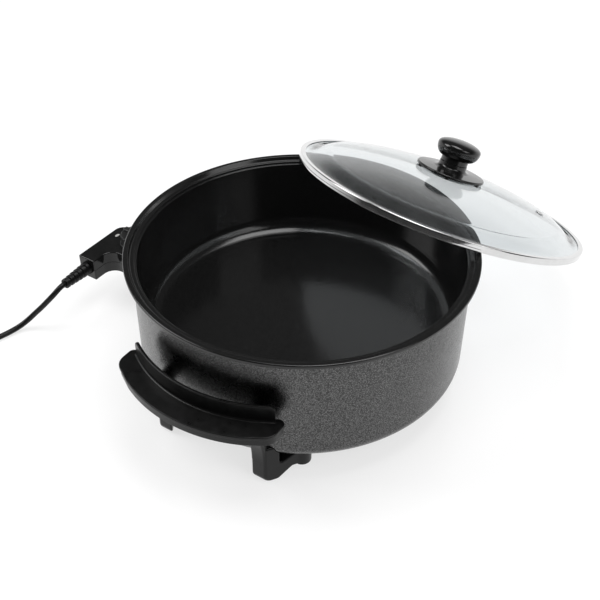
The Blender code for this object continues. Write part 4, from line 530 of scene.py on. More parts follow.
LENS = surface("pilot_lens", "lens_plastic", (0.58, 0.575, 0.56), (0.70, 0.695, 0.68), 2.0,
               (0.1, 0.2), 0.6, 0.01, Transmission_Weight=0.4)
RUBBER = surface("cord_rubber", "cord_rubber", grey(0.003), grey(0.007), 5.0, (0.32, 0.44),
                 0.4, 0.02, Specular_IOR_Level=0.28)
NICKEL = surface("nickel", "nickel", grey(0.58, 0.02), grey(0.70, 0.02), 3.0, (0.14, 0.26),
                 0.3, 0.003, Metallic=1.0)
DIAL = surface("dial_plastic", "dial_plastic", grey(0.008), grey(0.014), 7.0, (0.28, 0.4), 0.5,
               0.01, Specular_IOR_Level=0.4)


# Cord

CORD_RADIUS = 3.5
TAIL_END = 56.0              # of the thermostat, where the cord leaves it
BOOT_AXIS_REACH = 294.0
BOOT_LENGTH = 41.0
BOOT_ROOT_RADIUS = 8.9
BOOT_END_RADIUS = 6.4
BOOT_BORE = 3.9
BOOT_RIBS = 5
BOOT_RIBS_START = 5
BOOT_GROOVE = 3.6
BOOT_RIB = 3.4
BOOT_RIB_HEIGHT = 1.9
CORD_ROUTE = [(-294, -107, 58), (-296, -112, 54), (-303, -119, 44), (-312, -126, 32),
              (-322, -133, 20), (-330, -142, 10), (-336, -155, 4.8), (-341, -172, 3.7),
              (-346, -189, 3.7)]
COIL_CENTRE = (-398, -232)
COIL_OUTER_RADIUS = 46
COIL_LOOP_PITCH = 7.8
COIL_LOOPS_PER_LAYER = 2
COIL_LOOP_POINTS = 24
COIL_ENTRY_ANGLE = -12
COIL_EXIT_TURN = 32
COIL_LAYER_PITCH = 7.7
TIE_RADIUS = 38.2            # from the coil's centre
TIE_HEIGHT = 7.8
TIE_ANGLE = math.radians(-142)
PLUG_LEAD = 30
PLUG_AXIS_HEIGHT = 18.5
PLUG_NECK = 12
PLUG_FACE = 43
PLUG_HEAD_RADIUS = 18
PLUG_PIN_SIDE = 9.5
PLUG_PIN_HOLE = 2.7
PLUG_PIN_DEPTH = 6.3
PLUG_STRIP_SIDE = 16.4
PLUG_STRIP_HALF_WIDTH = 2.8
PLUG_STRIP_LENGTH = 15.3


def coil_points():
    """Two layers of loops: in at the bottom, up, and out again on top."""
    layer = COIL_LOOPS_PER_LAYER * COIL_LOOP_POINTS
    total = 2 * layer + round(COIL_LOOP_POINTS * COIL_EXIT_TURN / 360)
    points = []
    for i in range(total + 1):
        angle = math.radians(COIL_ENTRY_ANGLE - 360 * i / COIL_LOOP_POINTS)
        share = (min(i, layer) - max(i - layer, 0)) / layer
        radius = COIL_OUTER_RADIUS - COIL_LOOP_PITCH * COIL_LOOPS_PER_LAYER * share
        climb = min(max((i - layer + COIL_LOOP_POINTS / 4) / (COIL_LOOP_POINTS / 2), 0), 1)
        climb = climb * climb * (3 - 2 * climb)
        points.append(Vector((COIL_CENTRE[0] + radius * math.cos(angle),
                              COIL_CENTRE[1] + radius * math.sin(angle),
                              CORD_RADIUS + COIL_LAYER_PITCH * climb)))
    return points


def evenly(points, spacing):
    """Points along a dense line, about a given distance apart."""
    lengths = [(b - a).length for a, b in zip(points, points[1:])]
    count = max(round(sum(lengths) / spacing), 1)
    step = sum(lengths) / count
    result = [points[0]]
    walked = 0
    for a, b, length in zip(points, points[1:], lengths):
        while len(result) < count and walked + length >= len(result) * step:
            result.append(a.lerp(b, (len(result) * step - walked) / length))
        walked += length
    result.append(points[-1])
    return result


def free_cord(points):
    middle = smooth_route(points, 8)[8:-8]
    return [points[0]] + evenly(middle, 4 * CORD_RADIUS) + [points[-1]]


def make_cord():
    """One lead from the boot through the coil to the plug, and the plug's place."""
    coil = coil_points()
    entry = (coil[0] - coil[1]).normalized()
    leave = (coil[-1] - coil[-2]).normalized()
    boot_end = Vector((-BOOT_AXIS_REACH, -TAIL_END - BOOT_LENGTH - 2 * GAP, SOCKET_AXIS))
    join = coil[0] + entry * (2 * CORD_RADIUS + GAP)
    route = [boot_end, boot_end + Vector((0, -2 * CORD_RADIUS, 0))]
    route += [Vector(p) for p in CORD_ROUTE] + [join + entry * 2 * CORD_RADIUS, join]
    start = coil[-1] + leave * (2 * CORD_RADIUS + GAP)
    flat = Vector((leave.x, leave.y, 0)).normalized()
    end = start + flat * PLUG_LEAD
    end.z = PLUG_AXIS_HEIGHT
    lead = [start, start + leave * 2 * CORD_RADIUS, end - flat * 2 * CORD_RADIUS, end]
    points = [boot_end + Vector((0, 1, 0))] + free_cord(route)[1:] + coil + free_cord(lead)
    points[-1] = end + flat * 1.0

    curve = bpy.data.curves.new("mains_cord", "CURVE")
    curve.dimensions = "3D"
    curve.bevel_depth = CORD_RADIUS * MM
    curve.bevel_resolution = 6
    curve.resolution_u = 4
    curve.use_fill_caps = True
    line = curve.splines.new("BEZIER")
    line.bezier_points.add(len(points) - 1)
    for target, point in zip(line.bezier_points, points):
        target.co = MM * (PAN_PLACE @ point)
        target.handle_left_type = target.handle_right_type = "AUTO"
    curve.materials.append(RUBBER)
    cord = link("mains_cord", curve)
    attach(cord, "thermostat")
    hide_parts("cord", "cord_coil", "cord_plug_lead")
    length = sum((b - a).length for a, b in zip(points, points[1:]))
    return cord, MM * (PAN_PLACE @ points[0]), length * MM, end + flat * GAP, flat


def make_boot():
    """Ribbed tapering strain relief, out of the thermostat's tail along -Y."""
    def core(distance):
        share = distance / BOOT_LENGTH
        return BOOT_ROOT_RADIUS + (BOOT_END_RADIUS - BOOT_ROOT_RADIUS) * share

    at = BOOT_RIBS_START
    corners = [(0, 0, 0), (BOOT_ROOT_RADIUS, 0, 0.6), (core(at), at, 0.5)]
    for _ in range(BOOT_RIBS):
        corners.append((core(at) - BOOT_RIB_HEIGHT, at + 0.9, 0.4))
        at += BOOT_GROOVE
        corners.append((core(at) - BOOT_RIB_HEIGHT, at - 0.9, 0.4))
        corners.append((core(at), at, 0.5))
        at += BOOT_RIB
        corners.append((core(at), at, 0.5))
    corners += [(BOOT_END_RADIUS + 0.2, at + 0.2, 0.5), (BOOT_END_RADIUS, BOOT_LENGTH, 1.6),
                (BOOT_BORE, BOOT_LENGTH, 0.3), (BOOT_BORE, BOOT_LENGTH - 1.2, 0),
                (0, BOOT_LENGTH - 1.2, 0)]
    place = (Matrix.Translation((-BOOT_AXIS_REACH, -TAIL_END - GAP, SOCKET_AXIS))
             @ Matrix.Rotation(math.pi / 2, 4, "X"))
    return finish_piece(lathe(rounded(corners, 3), FINE, place), "strain_relief", RUBBER,
                        "thermostat", ["cord_boot"])


def make_plug(start, flat):
    """Round two-pin plug with side earth strips."""
    place = (Matrix.Translation(start) @ Matrix.Rotation(math.atan2(flat.y, flat.x), 4, "Z")
             @ Matrix.Rotation(math.pi / 2, 4, "Y"))
    shape = [(0, 0, 0), (6.5, 0, 1.5), (7.2, PLUG_NECK, 1.5), (9, PLUG_NECK + 1.5, 2),
             (16.5, PLUG_NECK + 14, 2.5), (PLUG_HEAD_RADIUS, PLUG_NECK + 15.5, 1.5),
             (PLUG_HEAD_RADIUS, PLUG_FACE, 1.5), (0, PLUG_FACE, 0)]
    body = lathe(rounded(shape, 4), MEDIUM, place)
    width = PLUG_STRIP_HALF_WIDTH
    for side in (-1, 1):
        hole = pin_profile(PLUG_PIN_HOLE, PLUG_FACE - PLUG_PIN_DEPTH, PLUG_FACE + PAST, 0.3)
        at = place @ Matrix.Translation((0, side * PLUG_PIN_SIDE, 0))
        cut(body, lathe(hole, SMALL, at))
        floor, mouth = side * PLUG_STRIP_SIDE, side * (PLUG_HEAD_RADIUS + PAST)
        groove = [(floor, -width), (mouth, -width), (mouth, width), (floor, width)][::side]
        levels = [(PLUG_FACE - PLUG_STRIP_LENGTH, 0), (PLUG_FACE + PAST, 0)]
        cut(body, prism(groove, levels, place))
    return finish_piece(body, "mains_plug", RUBBER, "thermostat", ["plug_body"])


def make_tie():
    """Flat strap that holds the coil's loops together."""
    place = (Matrix.Translation((COIL_CENTRE[0] + TIE_RADIUS * math.cos(TIE_ANGLE),
                                 COIL_CENTRE[1] + TIE_RADIUS * math.sin(TIE_ANGLE), TIE_HEIGHT))
             @ Matrix.Rotation(TIE_ANGLE, 4, "Z") @ Matrix.Rotation(math.pi / 2, 4, "X"))
    strap = prism(rounded_box(9.5, 7.6, 3.5), edge_levels(-5, 5, 0.3, 0.3), place)
    cut(strap, prism(rounded_box(8.7, 6.9, 3.2), [(-8, 0), (8, 0)], place))
    return finish_piece(strap, "coil_tie", HANDLE, "thermostat")


mains_cord, cord_exit, cord_length, plug_start, plug_along = make_cord()
make_boot()
plug = make_plug(plug_start, plug_along)
tie = make_tie()


# Pan and casing

def make_pan():
    profile = rounded([
        (0, FLOOR_TOP, 0), (FLOOR_RADIUS, FLOOR_TOP, 20), (185.2, STEP_TOP, 0.8),
        (187.1, STEP_TOP, 0.5), (187.8, SEAT_TOP, 0.6), (191.8, SEAT_TOP, 0.9),
        (194.2, RIM_TOP, 0.9), (RIM_RADIUS, RIM_TOP, 1.6), (RIM_RADIUS, RIM_BOTTOM, 1.6),
        (192, RIM_BOTTOM, 0.6), (191, HOOK_BOTTOM, 0.2), (189.2, HOOK_BOTTOM, 0.2),
        (FLOOR_RADIUS + PAN_THICKNESS, PAN_UNDERSIDE, 24), (BOLT_PAD_RADIUS, PAN_UNDERSIDE, 0.6),
        (BOLT_PAD_RADIUS, BOLT_PAD_BOTTOM, 0.6), (BOLT_HOLE, BOLT_PAD_BOTTOM, 0.2),
        (BOLT_HOLE, BOLT_HOLE_TOP, 0), (0, BOLT_HOLE_TOP, 0)], 6)
    pan = lathe(profile)
    low = SOCKET_AXIS - PROBE_HOLE - 3
    half = (PAN_UNDERSIDE + 2 - low) / 2
    block = prism(rounded_box(half, 7, 1.5), [(PROBE_BLOCK_START, 0), (PROBE_BLOCK_END, 0)],
                  towards_socket(0, 0, low + half))
    join(pan, block)
    hole = pin_profile(PROBE_HOLE, PROBE_HOLE_START, PROBE_BLOCK_END + PAST, 0.3)
    cut(pan, lathe(hole, SMALL, towards_socket(0)))
    return finish_piece(pan, "pan_bowl", NONSTICK, "pan", ["cooking_pan"])


def screw_places():
    return [(side * BOSS_SIDE, end * BOSS_REACH) for end in (-1, 1) for side in (-1, 1)]


def add_socket_screw_holes(mesh):
    hole = pin_profile(PILOT_HOLE, CASING_RADIUS - PAST, CASING_RADIUS + PAST, 0.3)
    for side in (-1, 1):
        turn = Matrix.Rotation(-side * SOCKET_SCREW_SPREAD / CASING_RADIUS, 4, "Z")
        add_lathe(mesh, hole, SMALL, turn @ towards_socket(0))


def make_casing():
    top = HOOK_BOTTOM - GAP
    wall = CASING_RADIUS - CASING_WALL
    inside = CASING_BOTTOM + CASING_WALL
    profile = rounded([
        (wall, top, 0), (CASING_RADIUS, top, 0), (CASING_RADIUS, CASING_BOTTOM, CASING_CORNER),
        (BOLT_HOLE, CASING_BOTTOM, 0.3), (BOLT_HOLE, inside, 0.3),
        (wall, inside, CASING_CORNER - CASING_WALL)], 14)
    casing = lathe(profile)
    opening = rounded_box(SOCKET_HALF_HEIGHT + GAP, SOCKET_HALF_WIDTH + GAP, SOCKET_CORNER + GAP)
    cut(casing, prism(opening, [(-14, 0), (PAST, 0)], towards_socket(CASING_RADIUS)))
    holes = bmesh.new()
    for x, y in screw_places():
        add_lathe(holes, drum(SCREW_HOLE, -PAST, PAST), SMALL,
                  Matrix.Translation((x, y, CASING_BOTTOM)))
    add_socket_screw_holes(holes)
    cut(casing, as_object(holes))
    return finish_piece(casing, "casing_shell", HAMMERED, "pan", ["outer_casing"])


make_pan()
make_casing()


# Handles

def shelf_outline(steps=48):
    """Plan of the shelf, counter-clockwise, the handle's axis along -Y."""
    inner_radius = GUARD_ARC - GUARD_THICKNESS
    out = math.degrees(math.asin(SHELF_HALF_LENGTH / SHELF_ARC))
    back = math.degrees(math.asin(SHELF_HALF_LENGTH / inner_radius))
    outer = arc((0, -SHELF_CENTRE), SHELF_ARC, -90 - out, -90 + out, steps)
    inner = arc((0, -GUARD_CENTRE), inner_radius, -90 + back, -90 - back, steps)
    # Points that the corners' rounding takes up
    skip = round(steps * 0.15)
    corners = [(*outer[0], SHELF_CORNER)] + [(x, y, 0) for x, y in outer[skip:-skip]]
    corners += [(*outer[-1], SHELF_CORNER), (*inner[0], SHELF_INNER_CORNER)]
    corners += [(x, y, 0) for x, y in inner[skip:-skip]]
    corners += [(*inner[-1], SHELF_INNER_CORNER)]
    return rounded(corners, 10)


def make_guard():
    """Upright wall on the shelf's inner edge, and the thin apron under that edge."""
    half = math.degrees(math.asin(GUARD_HALF_LENGTH / GUARD_ARC))
    corner = math.degrees(GUARD_CORNER / GUARD_ARC)
    shares = [1 - math.cos(math.pi / 2 * i / 10) for i in range(11)]
    sweeps = [-half + corner * share for share in shares]
    sweeps += [-half + corner + 2 * (half - corner) * (i + 1) / 60 for i in range(59)]
    sweeps += [half - corner * share for share in reversed(shares)]
    turns = (0, 0.4, 0.8, 1.2, math.pi / 2)
    fillet, edge = GUARD_FILLET, GUARD_EDGE
    root = SHELF_TOP - 2
    inner = GUARD_ARC - GUARD_THICKNESS + GAP
    rings = []
    for sweep in sweeps:
        sag = max(GUARD_CORNER - math.radians(half - abs(sweep)) * GUARD_ARC, 0)
        lift = math.sqrt(max(GUARD_CORNER ** 2 - sag ** 2, 0))
        top = SHELF_TOP + GUARD_HEIGHT - GUARD_CORNER + lift
        section = [(inner + APRON_THICKNESS, APRON_BOTTOM), (inner + APRON_THICKNESS, root),
                   (GUARD_ARC + fillet, root), (GUARD_ARC + fillet, SHELF_TOP)]
        section += [(GUARD_ARC + fillet - fillet * math.sin(turn),
                     SHELF_TOP + fillet - fillet * math.cos(turn)) for turn in turns[1:]]
        section += [(GUARD_ARC - edge + edge * math.cos(turn), top - edge + edge * math.sin(turn))
                    for turn in turns]
        section += [(inner + edge - edge * math.sin(turn), top - edge + edge * math.cos(turn))
                    for turn in turns]
        section.append((inner, APRON_BOTTOM))
        angle = math.radians(-90 + sweep)
        rings.append([Vector((radius * math.cos(angle),
                              -GUARD_CENTRE + radius * math.sin(angle), height))
                      for radius, height in section])
    mesh = bmesh.new()
    add_skin(mesh, rings)
    return as_object(mesh)


def bar(profile, side, along, edge=2.8):
    """Upright bar: an outline in (run, height) swept across the leg's width."""
    mesh = bmesh.new()
    rings = []
    for across, amount in edge_levels(LEG_INNER, LEG_INNER + LEG_WIDTH, edge, edge):
        shape = inset(profile, amount) if amount else profile
        rings.append([Vector((side * across + along.x * run, -LEG_REACH + along.y * run,
                              height)) for run, height in shape])
    add_skin(mesh, rings)
    return as_object(mesh)


def make_leg(side):
    """Foot column with the strut that runs under the pan to the boss."""
    start = Vector((side * (LEG_INNER + LEG_WIDTH), -LEG_REACH))
    along = (Vector((side * (BOSS_SIDE + 8.4), -BOSS_REACH)) - start).normalized()
    reach = (LEG_REACH - BOSS_REACH) / along.y
    column = CASING_BOTTOM + CASING_CORNER
    outline = rounded([(0, column, 0), (0, 0, 8), (FOOT_LENGTH, 0, 7),
                       (FOOT_LENGTH + BOSS_BOTTOM / 0.82, BOSS_BOTTOM, 2),
                       (reach, BOSS_BOTTOM, 0),
                       (reach, STRUT_TOP + (reach - LEG_DEPTH) * 0.5, 0),
                       (LEG_DEPTH, STRUT_TOP, 2), (LEG_DEPTH, column, 0)], 6)
    return bar(outline, side, along)


def make_bracket(side):
    """Arm that sweeps from the leg up and out to the underside of the shelf."""
    knee = CASING_BOTTOM - 5
    top = SHELF_TOP - SHELF_PLATE + GAP
    reach = BRACKET_REACH - LEG_REACH
    outer, inner = [], []
    for i in range(17):
        turn = math.pi / 2 * i / 16
        out, up = 1 - math.cos(turn), math.sin(turn)
        outer.append((-reach * out, knee + (SHELF_BOTTOM - knee) * up))
        inner.append((LEG_DEPTH - BRACKET_INNER_SWEEP * out, knee + (top - knee) * up))
    outline = outer + [(-reach, top)] + inner[::-1]
    return bar(outline[::-1], side, Vector((0, 1)))


def make_shelf():
    """Plate with a lip, a skirt set back under it, and ribs from skirt to skirt."""
    outline = shelf_outline()
    lip = SHELF_TOP - SHELF_LIP
    levels = edge_levels(SHELF_BOTTOM, SHELF_BOTTOM + 2, 0.7, 0, SHELF_SET_BACK)[:5]
    levels += [(lip, SHELF_SET_BACK), (lip, 0.6)]
    levels += edge_levels(lip, SHELF_TOP, 0.5, 1.1)[1:]
    shelf = prism(outline, levels)
    hollow = prism(inset(outline, SHELF_SET_BACK + SHELF_SKIRT),
                   [(SHELF_BOTTOM - PAST, 0), (SHELF_TOP - SHELF_PLATE, 0)])
    cut(shelf, hollow)
    for share in RIB_PLACES:
        middle = share * 2 * SHELF_HALF_LENGTH
        near = (GUARD_CENTRE + math.sqrt(GUARD_ARC ** 2 - middle ** 2) - GUARD_THICKNESS
                + SHELF_SKIRT)
        far = SHELF_CENTRE + math.sqrt(SHELF_ARC ** 2 - middle ** 2) - SHELF_SKIRT
        left, right = middle - RIB_HALF_THICKNESS, middle + RIB_HALF_THICKNESS
        join(shelf, prism([(left, -far), (right, -far), (right, -near), (left, -near)],
                          [(SHELF_BOTTOM + 1, 0), (SHELF_TOP - 1.7, 0)]))
    return shelf


def make_handle():
    """Shelf, guard, two arms, legs and bosses in one, cut to the casing's shape."""
    handle = make_shelf()
    join(handle, make_guard())
    above = CASING_BOTTOM + PAST
    boss = rounded([(0, BOSS_BOTTOM, 0), (BOSS_RADIUS, BOSS_BOTTOM, 1.2),
                    (BOSS_RADIUS, above, 0), (0, above, 0)], 4)
    for side in (-1, 1):
        join(handle, make_bracket(side))
        join(handle, make_leg(side))
        place = Matrix.Translation((side * BOSS_SIDE, -BOSS_REACH, 0))
        join(handle, lathe(boss, FINE, place))
    room_radius = CASING_RADIUS + HANDLE_ROOM
    room = rounded([(0, CASING_BOTTOM - GAP, 0),
                    (room_radius, CASING_BOTTOM - GAP, CASING_CORNER + HANDLE_ROOM),
                    (room_radius, RIM_TOP, 0), (0, RIM_TOP, 0)], 14)
    cut(handle, lathe(room))
    web = CASING_BOTTOM - BOSS_WEB
    bore = [(0, web - 20), (BOSS_BORE, web - 20), (BOSS_BORE, web), (SCREW_HOLE, web),
            (SCREW_HOLE, above), (0, above)]
    for side in (-1, 1):
        place = Matrix.Translation((side * BOSS_SIDE, -BOSS_REACH, 0))
        cut(handle, lathe(bore, SMALL, place))
    return handle


front = make_handle()
rear = link("rear", front.data.copy())
finish_piece(front, "front_handle", HANDLE, "pan", ["handle_front"])
finish_piece(rear, "rear_handle", HANDLE, "pan", ["handle_rear"],
             PAN_PLACE @ Matrix.Rotation(math.pi, 4, "Z"))


# Lid, in its own frame: Z along its axis, 0 at the band's underside

LID_RADIUS = 190.0
LID_TILT = 24.3
LID_AZIMUTH = 76.0
LID_OFFSET = 241.2           # of the lid's axis from the pan's
BAND_LIP = 6.5
BAND_BEAD = 3.4
BAND_SHEET = 1
GLASS_EDGE = LID_RADIUS - BAND_SHEET - GAP
GLASS_THICKNESS = 4
GLASS_DOME_RISE = 23.4
DOME_EDGE = GLASS_EDGE - 16.5
DOME_BASE = BAND_BEAD + GAP + GLASS_THICKNESS + 6.8
DOME_SPHERE = (DOME_EDGE ** 2 + GLASS_DOME_RISE ** 2) / (2 * GLASS_DOME_RISE)
SHOULDER_OUTER = 182.5
SHOULDER_INNER = 152
GASKET_RADIUS = 34
GASKET_THICKNESS = 1.2
VENT_RING = 128
VENT_ANGLE = math.radians(-48)
VENT_HOLE = 3.6
KNOB_HOLE = 4.2              # in the glass and the gasket
KNOB_BORE = 3.3              # in the knob and the washer
KNOB_PLATE_RADIUS = 44.5
KNOB_PLATE_EDGE = 3.6
KNOB_FEET = 6
KNOB_FOOT_RING = 43.1
KNOB_NECK_RADIUS = 17.5
KNOB_RADIUS = 28


def lid_height():
    """Height of the lid's frame at which the tilted band rests on the rim."""
    tilt = math.radians(LID_TILT)
    ring = LID_RADIUS - BAND_LIP
    a = ring ** 2 * (math.cos(tilt) ** 2 - 1)
    b = 2 * LID_OFFSET * ring * math.cos(tilt)
    c = LID_OFFSET ** 2 + ring ** 2 - (RIM_RADIUS - 1.5) ** 2
    share = (-b + math.sqrt(b * b - 4 * a * c)) / (2 * a)
    return RIM_TOP + GAP / math.cos(tilt) + ring * math.sin(tilt) * share


def lid_place():
    azimuth = math.radians(LID_AZIMUTH)
    offset = (LID_OFFSET * math.cos(azimuth), LID_OFFSET * math.sin(azimuth), lid_height())
    return (PAN_PLACE @ Matrix.Translation(offset) @ Matrix.Rotation(azimuth, 4, "Z")
            @ Matrix.Rotation(math.radians(LID_TILT), 4, "Y"))


LID_PLACE = lid_place()


def glass_top(radius):
    """Height of the glass's upper face, flat under the knob."""
    used = max(radius, GASKET_RADIUS)
    return DOME_BASE + math.sqrt(DOME_SPHERE ** 2 - used ** 2) - (DOME_SPHERE - GLASS_DOME_RISE)


def vent_place():
    lean = math.asin(VENT_RING / DOME_SPHERE)
    return (Matrix.Translation((VENT_RING * math.cos(VENT_ANGLE),
                                VENT_RING * math.sin(VENT_ANGLE), glass_top(VENT_RING)))
            @ Matrix.Rotation(VENT_ANGLE, 4, "Z") @ Matrix.Rotation(lean, 4, "Y"))


def make_lid_glass():
    """Flange under the band, one long soft shoulder, and the dome."""
    foot = BAND_BEAD + GAP + GLASS_THICKNESS
    run = SHOULDER_OUTER - SHOULDER_INNER
    rise = glass_top(SHOULDER_INNER) - foot
    slope = SHOULDER_INNER / math.sqrt(DOME_SPHERE ** 2 - SHOULDER_INNER ** 2) * run
    upper = [(GLASS_EDGE, foot), (SHOULDER_OUTER, foot)]
    for i in range(1, 16):
        t = i / 16
        upper.append((SHOULDER_OUTER - run * t, foot + rise * (3 * t * t - 2 * t ** 3)
                      + slope * (t ** 3 - t * t)))
    for i in range(25):
        radius = SHOULDER_INNER + (GASKET_RADIUS - SHOULDER_INNER) * i / 24
        upper.append((radius, glass_top(radius)))
    upper.append((KNOB_HOLE, glass_top(0)))
    lower = [(radius, height - GLASS_THICKNESS) for radius, height in reversed(upper)]
    glass = lathe(upper + lower)
    cut(glass, lathe(drum(VENT_HOLE, -10, PAST), SMALL, vent_place()))
    return finish_piece(glass, "glass_dome", GLASS, "lid", ["lid_glass"], LID_PLACE)


def make_band():
    """Steel channel with a rolled lower bead around the glass's edge."""
    inner = LID_RADIUS - BAND_LIP
    outer = LID_RADIUS - 0.1
    groove = LID_RADIUS - BAND_SHEET
    top = BAND_BEAD + GAP + GLASS_THICKNESS + GAP + BAND_SHEET
    profile = rounded([
        (inner, 0, 1.2), (outer - 0.3, 0, 1.4), (outer - 0.3, BAND_BEAD, 0.5),
        (outer, BAND_BEAD + 0.6, 0.5), (outer, top, 1.3), (inner, top, 0.45),
        (inner, top - BAND_SHEET, 0.45), (groove, top - BAND_SHEET, 0.3),
        (groove, BAND_BEAD, 0.3), (inner, BAND_BEAD, 1.2)], 5)
    return finish_piece(lathe(profile), "steel_band", BAND, "lid", ["lid_band"], LID_PLACE)


def make_vent():
    under = -GLASS_THICKNESS
    profile = rounded([
        (2, under - 1.4, 0.2), (6, under - 1.4, 0.3), (6, under - 0.6, 0.3),
        (3.0, under - 0.6, 0), (3.0, GAP, 0), (6, GAP, 0.2), (5.6, 1.1, 0.3), (2, 1.1, 0.3)], 3)
    return finish_piece(lathe(profile, SMALL, vent_place()), "vent_eyelet", STEEL, "lid",
                        ["vent_grommet"], LID_PLACE)


def make_knob():
    """Gasket, footed plate and grip on the glass, and the washer under it."""
    low = glass_top(0) + GAP
    high = low + GASKET_THICKNESS
    gasket = rounded([(KNOB_HOLE, low, 0), (GASKET_RADIUS, low, 0.5),
                      (GASKET_RADIUS, high, 0.5), (KNOB_HOLE, high, 0)], 3)
    finish_piece(lathe(gasket, MEDIUM), "gasket_ring", CLEAR, "lid", ["knob_gasket"], LID_PLACE)

    base = high + GAP
    rim = base + KNOB_PLATE_EDGE
    seam = rim + 9.6
    plate = lathe(rounded([
        (KNOB_BORE, base, 0), (KNOB_PLATE_RADIUS, base, 1), (KNOB_PLATE_RADIUS, rim, 1.6),
        (23, rim + 1.5, 14), (18, rim + 3.2, 6), (18, seam, 0.4), (KNOB_BORE, seam, 0)], 8),
        MEDIUM)
    shape = [(0, base - 1.8), (2.2, base - 1.8), (2.6, base - 1.3), (2.6, base + 1),
             (0, base + 1)]
    for i in range(KNOB_FEET):
        angle = 2 * math.pi * (i + 0.5) / KNOB_FEET
        place = Matrix.Translation((KNOB_FOOT_RING * math.cos(angle),
                                    KNOB_FOOT_RING * math.sin(angle), 0))
        join(plate, lathe(shape, 24, place))
    finish_piece(plate, "knob_plate", KNOB, "lid", ["knob_base"], LID_PLACE)

    start = seam + GAP
    neck = start + 6
    widest = neck + 13.5
    pocket = glass_top(0) + 15.3
    swell = KNOB_RADIUS - KNOB_NECK_RADIUS
    head = [(0, pocket), (KNOB_BORE, pocket), (KNOB_BORE, start),
            (KNOB_NECK_RADIUS - 0.4, start), (KNOB_NECK_RADIUS, start + 0.4),
            (KNOB_NECK_RADIUS, neck)]
    turns = [math.pi / 2 * i / 12 for i in range(1, 13)]
    head += [(KNOB_NECK_RADIUS + swell * math.sin(turn), neck + 13.5 * (1 - math.cos(turn)))
             for turn in turns]
    head += [(KNOB_RADIUS * math.cos(turn), widest + 9.5 * math.sin(turn) ** 0.8)
             for turn in turns[:-1]]
    head.append((0, widest + 9.5))
    finish_piece(lathe(head, MEDIUM), "knob_grip", KNOB, "lid", ["knob_head"], LID_PLACE)

    top = glass_top(0) - GLASS_THICKNESS - GAP
    washer = rounded([(KNOB_BORE, top - 2, 0), (22, top - 2, 0.8), (22, top, 0.4),
                      (KNOB_BORE, top, 0)], 4)
    finish_piece(lathe(washer, MEDIUM), "under_washer", WASHER, "lid", ["lid_washer"],
                 LID_PLACE)


make_lid_glass()
make_band()
make_vent()
make_knob()


# Thermostat

HOUSING_TOP = 73.5
HOUSING_BOTTOM = 43.5
HOUSING_REACH = 307.0
HOUSING_EDGE = 1.3
HEAD_START = 213.8
HEAD_SIDES = (-25, 27)
TAIL_WIDTH = 26
NOSE_START = 189
NOSE_CLEARANCE = 0.8
PIN_SIDE = 15
PIN_BORE = 4.3
DIAL_AXIS = (-263, 5)
DIAL_BORE = 3.3
DIAL_SKIRT_TOP = 3.3
DIAL_DRUM_TOP = 15.3
DIAL_FLUTES = 18
LENS_PLACE = (-HOUSING_REACH + 12, 5, 0)
HOUSING_SCREWS = ((-HEAD_START - 8, 19), (-HEAD_START - 8, -17), (-HOUSING_REACH + 13, -48))


def housing_outline():
    inner_x = -(HOUSING_REACH - TAIL_WIDTH)
    near, far = HEAD_SIDES
    return rounded([
        (-HEAD_START, far, 1.5), (-HOUSING_REACH, far, 13), (-HOUSING_REACH, -TAIL_END, 1.5),
        (inner_x, -TAIL_END, 1.5), (inner_x, near, 16), (-HEAD_START, near, 1.5)], 12)


def nose_outline(sign):
    half_y = SOCKET_HALF_WIDTH - SOCKET_WALL - NOSE_CLEARANCE
    edge = sign * (SOCKET_HALF_HEIGHT - SOCKET_WALL - NOSE_CLEARANCE)
    split = sign * GAP / 2
    return rounded([(split, -half_y, 0), (edge, -half_y, 4), (edge, half_y, 4),
                    (split, half_y, 0)][::sign], 6)


def make_half(sign):
    """Lower (-1) or upper (1) half of the housing, with its half of the bores."""
    seam = SOCKET_AXIS + sign * GAP / 2
    if sign < 0:
        levels = edge_levels(HOUSING_BOTTOM, seam, HOUSING_EDGE, 0.3)
    else:
        levels = edge_levels(seam, HOUSING_TOP, 0.3, HOUSING_EDGE)
    half = prism(housing_outline(), levels)
    nose = [(NOSE_START, 0), (HEAD_START + PAST, 0)]
    join(half, prism(nose_outline(sign), nose, towards_socket(0)))
    pin_bore = pin_profile(PIN_BORE, NOSE_START - PAST, NOSE_START + 17, 1)
    for side in (-1, 1):
        cut(half, lathe(pin_bore, SMALL, towards_socket(0, side * PIN_SIDE)))
    probe_bore = pin_profile(PROBE_HOLE, NOSE_START - PAST, NOSE_START + 10.3, 0.3)
    cut(half, lathe(probe_bore, SMALL, towards_socket(0)))
    return half


def make_housing():
    lower, upper = make_half(-1), make_half(1)
    above = HOUSING_TOP + PAST
    cut(upper, lathe(drum(3.4, HOUSING_TOP - 9, above), SMALL,
                     Matrix.Translation((*DIAL_AXIS, 0))))
    cut(upper, prism(rounded_box(2.3, 3.8, 2.3), [(HOUSING_TOP - 3.3, 0), (above, 0)],
                     Matrix.Translation(LENS_PLACE)))
    hole = [(0, -PAST), (3.5, -PAST), (3.5, GAP), (PILOT_HOLE, GAP), (PILOT_HOLE, 10 + GAP),
            (0, 10 + GAP)]
    for x, y in HOUSING_SCREWS:
        place = Matrix.Translation((x, y, HOUSING_BOTTOM + 2 + GAP))
        cut(lower, lathe(hole, SMALL, place))
    finish_piece(lower, "lower_shell", HOUSING, "thermostat", ["thermostat_lower_housing"])
    finish_piece(upper, "upper_shell", HOUSING, "thermostat", ["thermostat_upper_housing"])


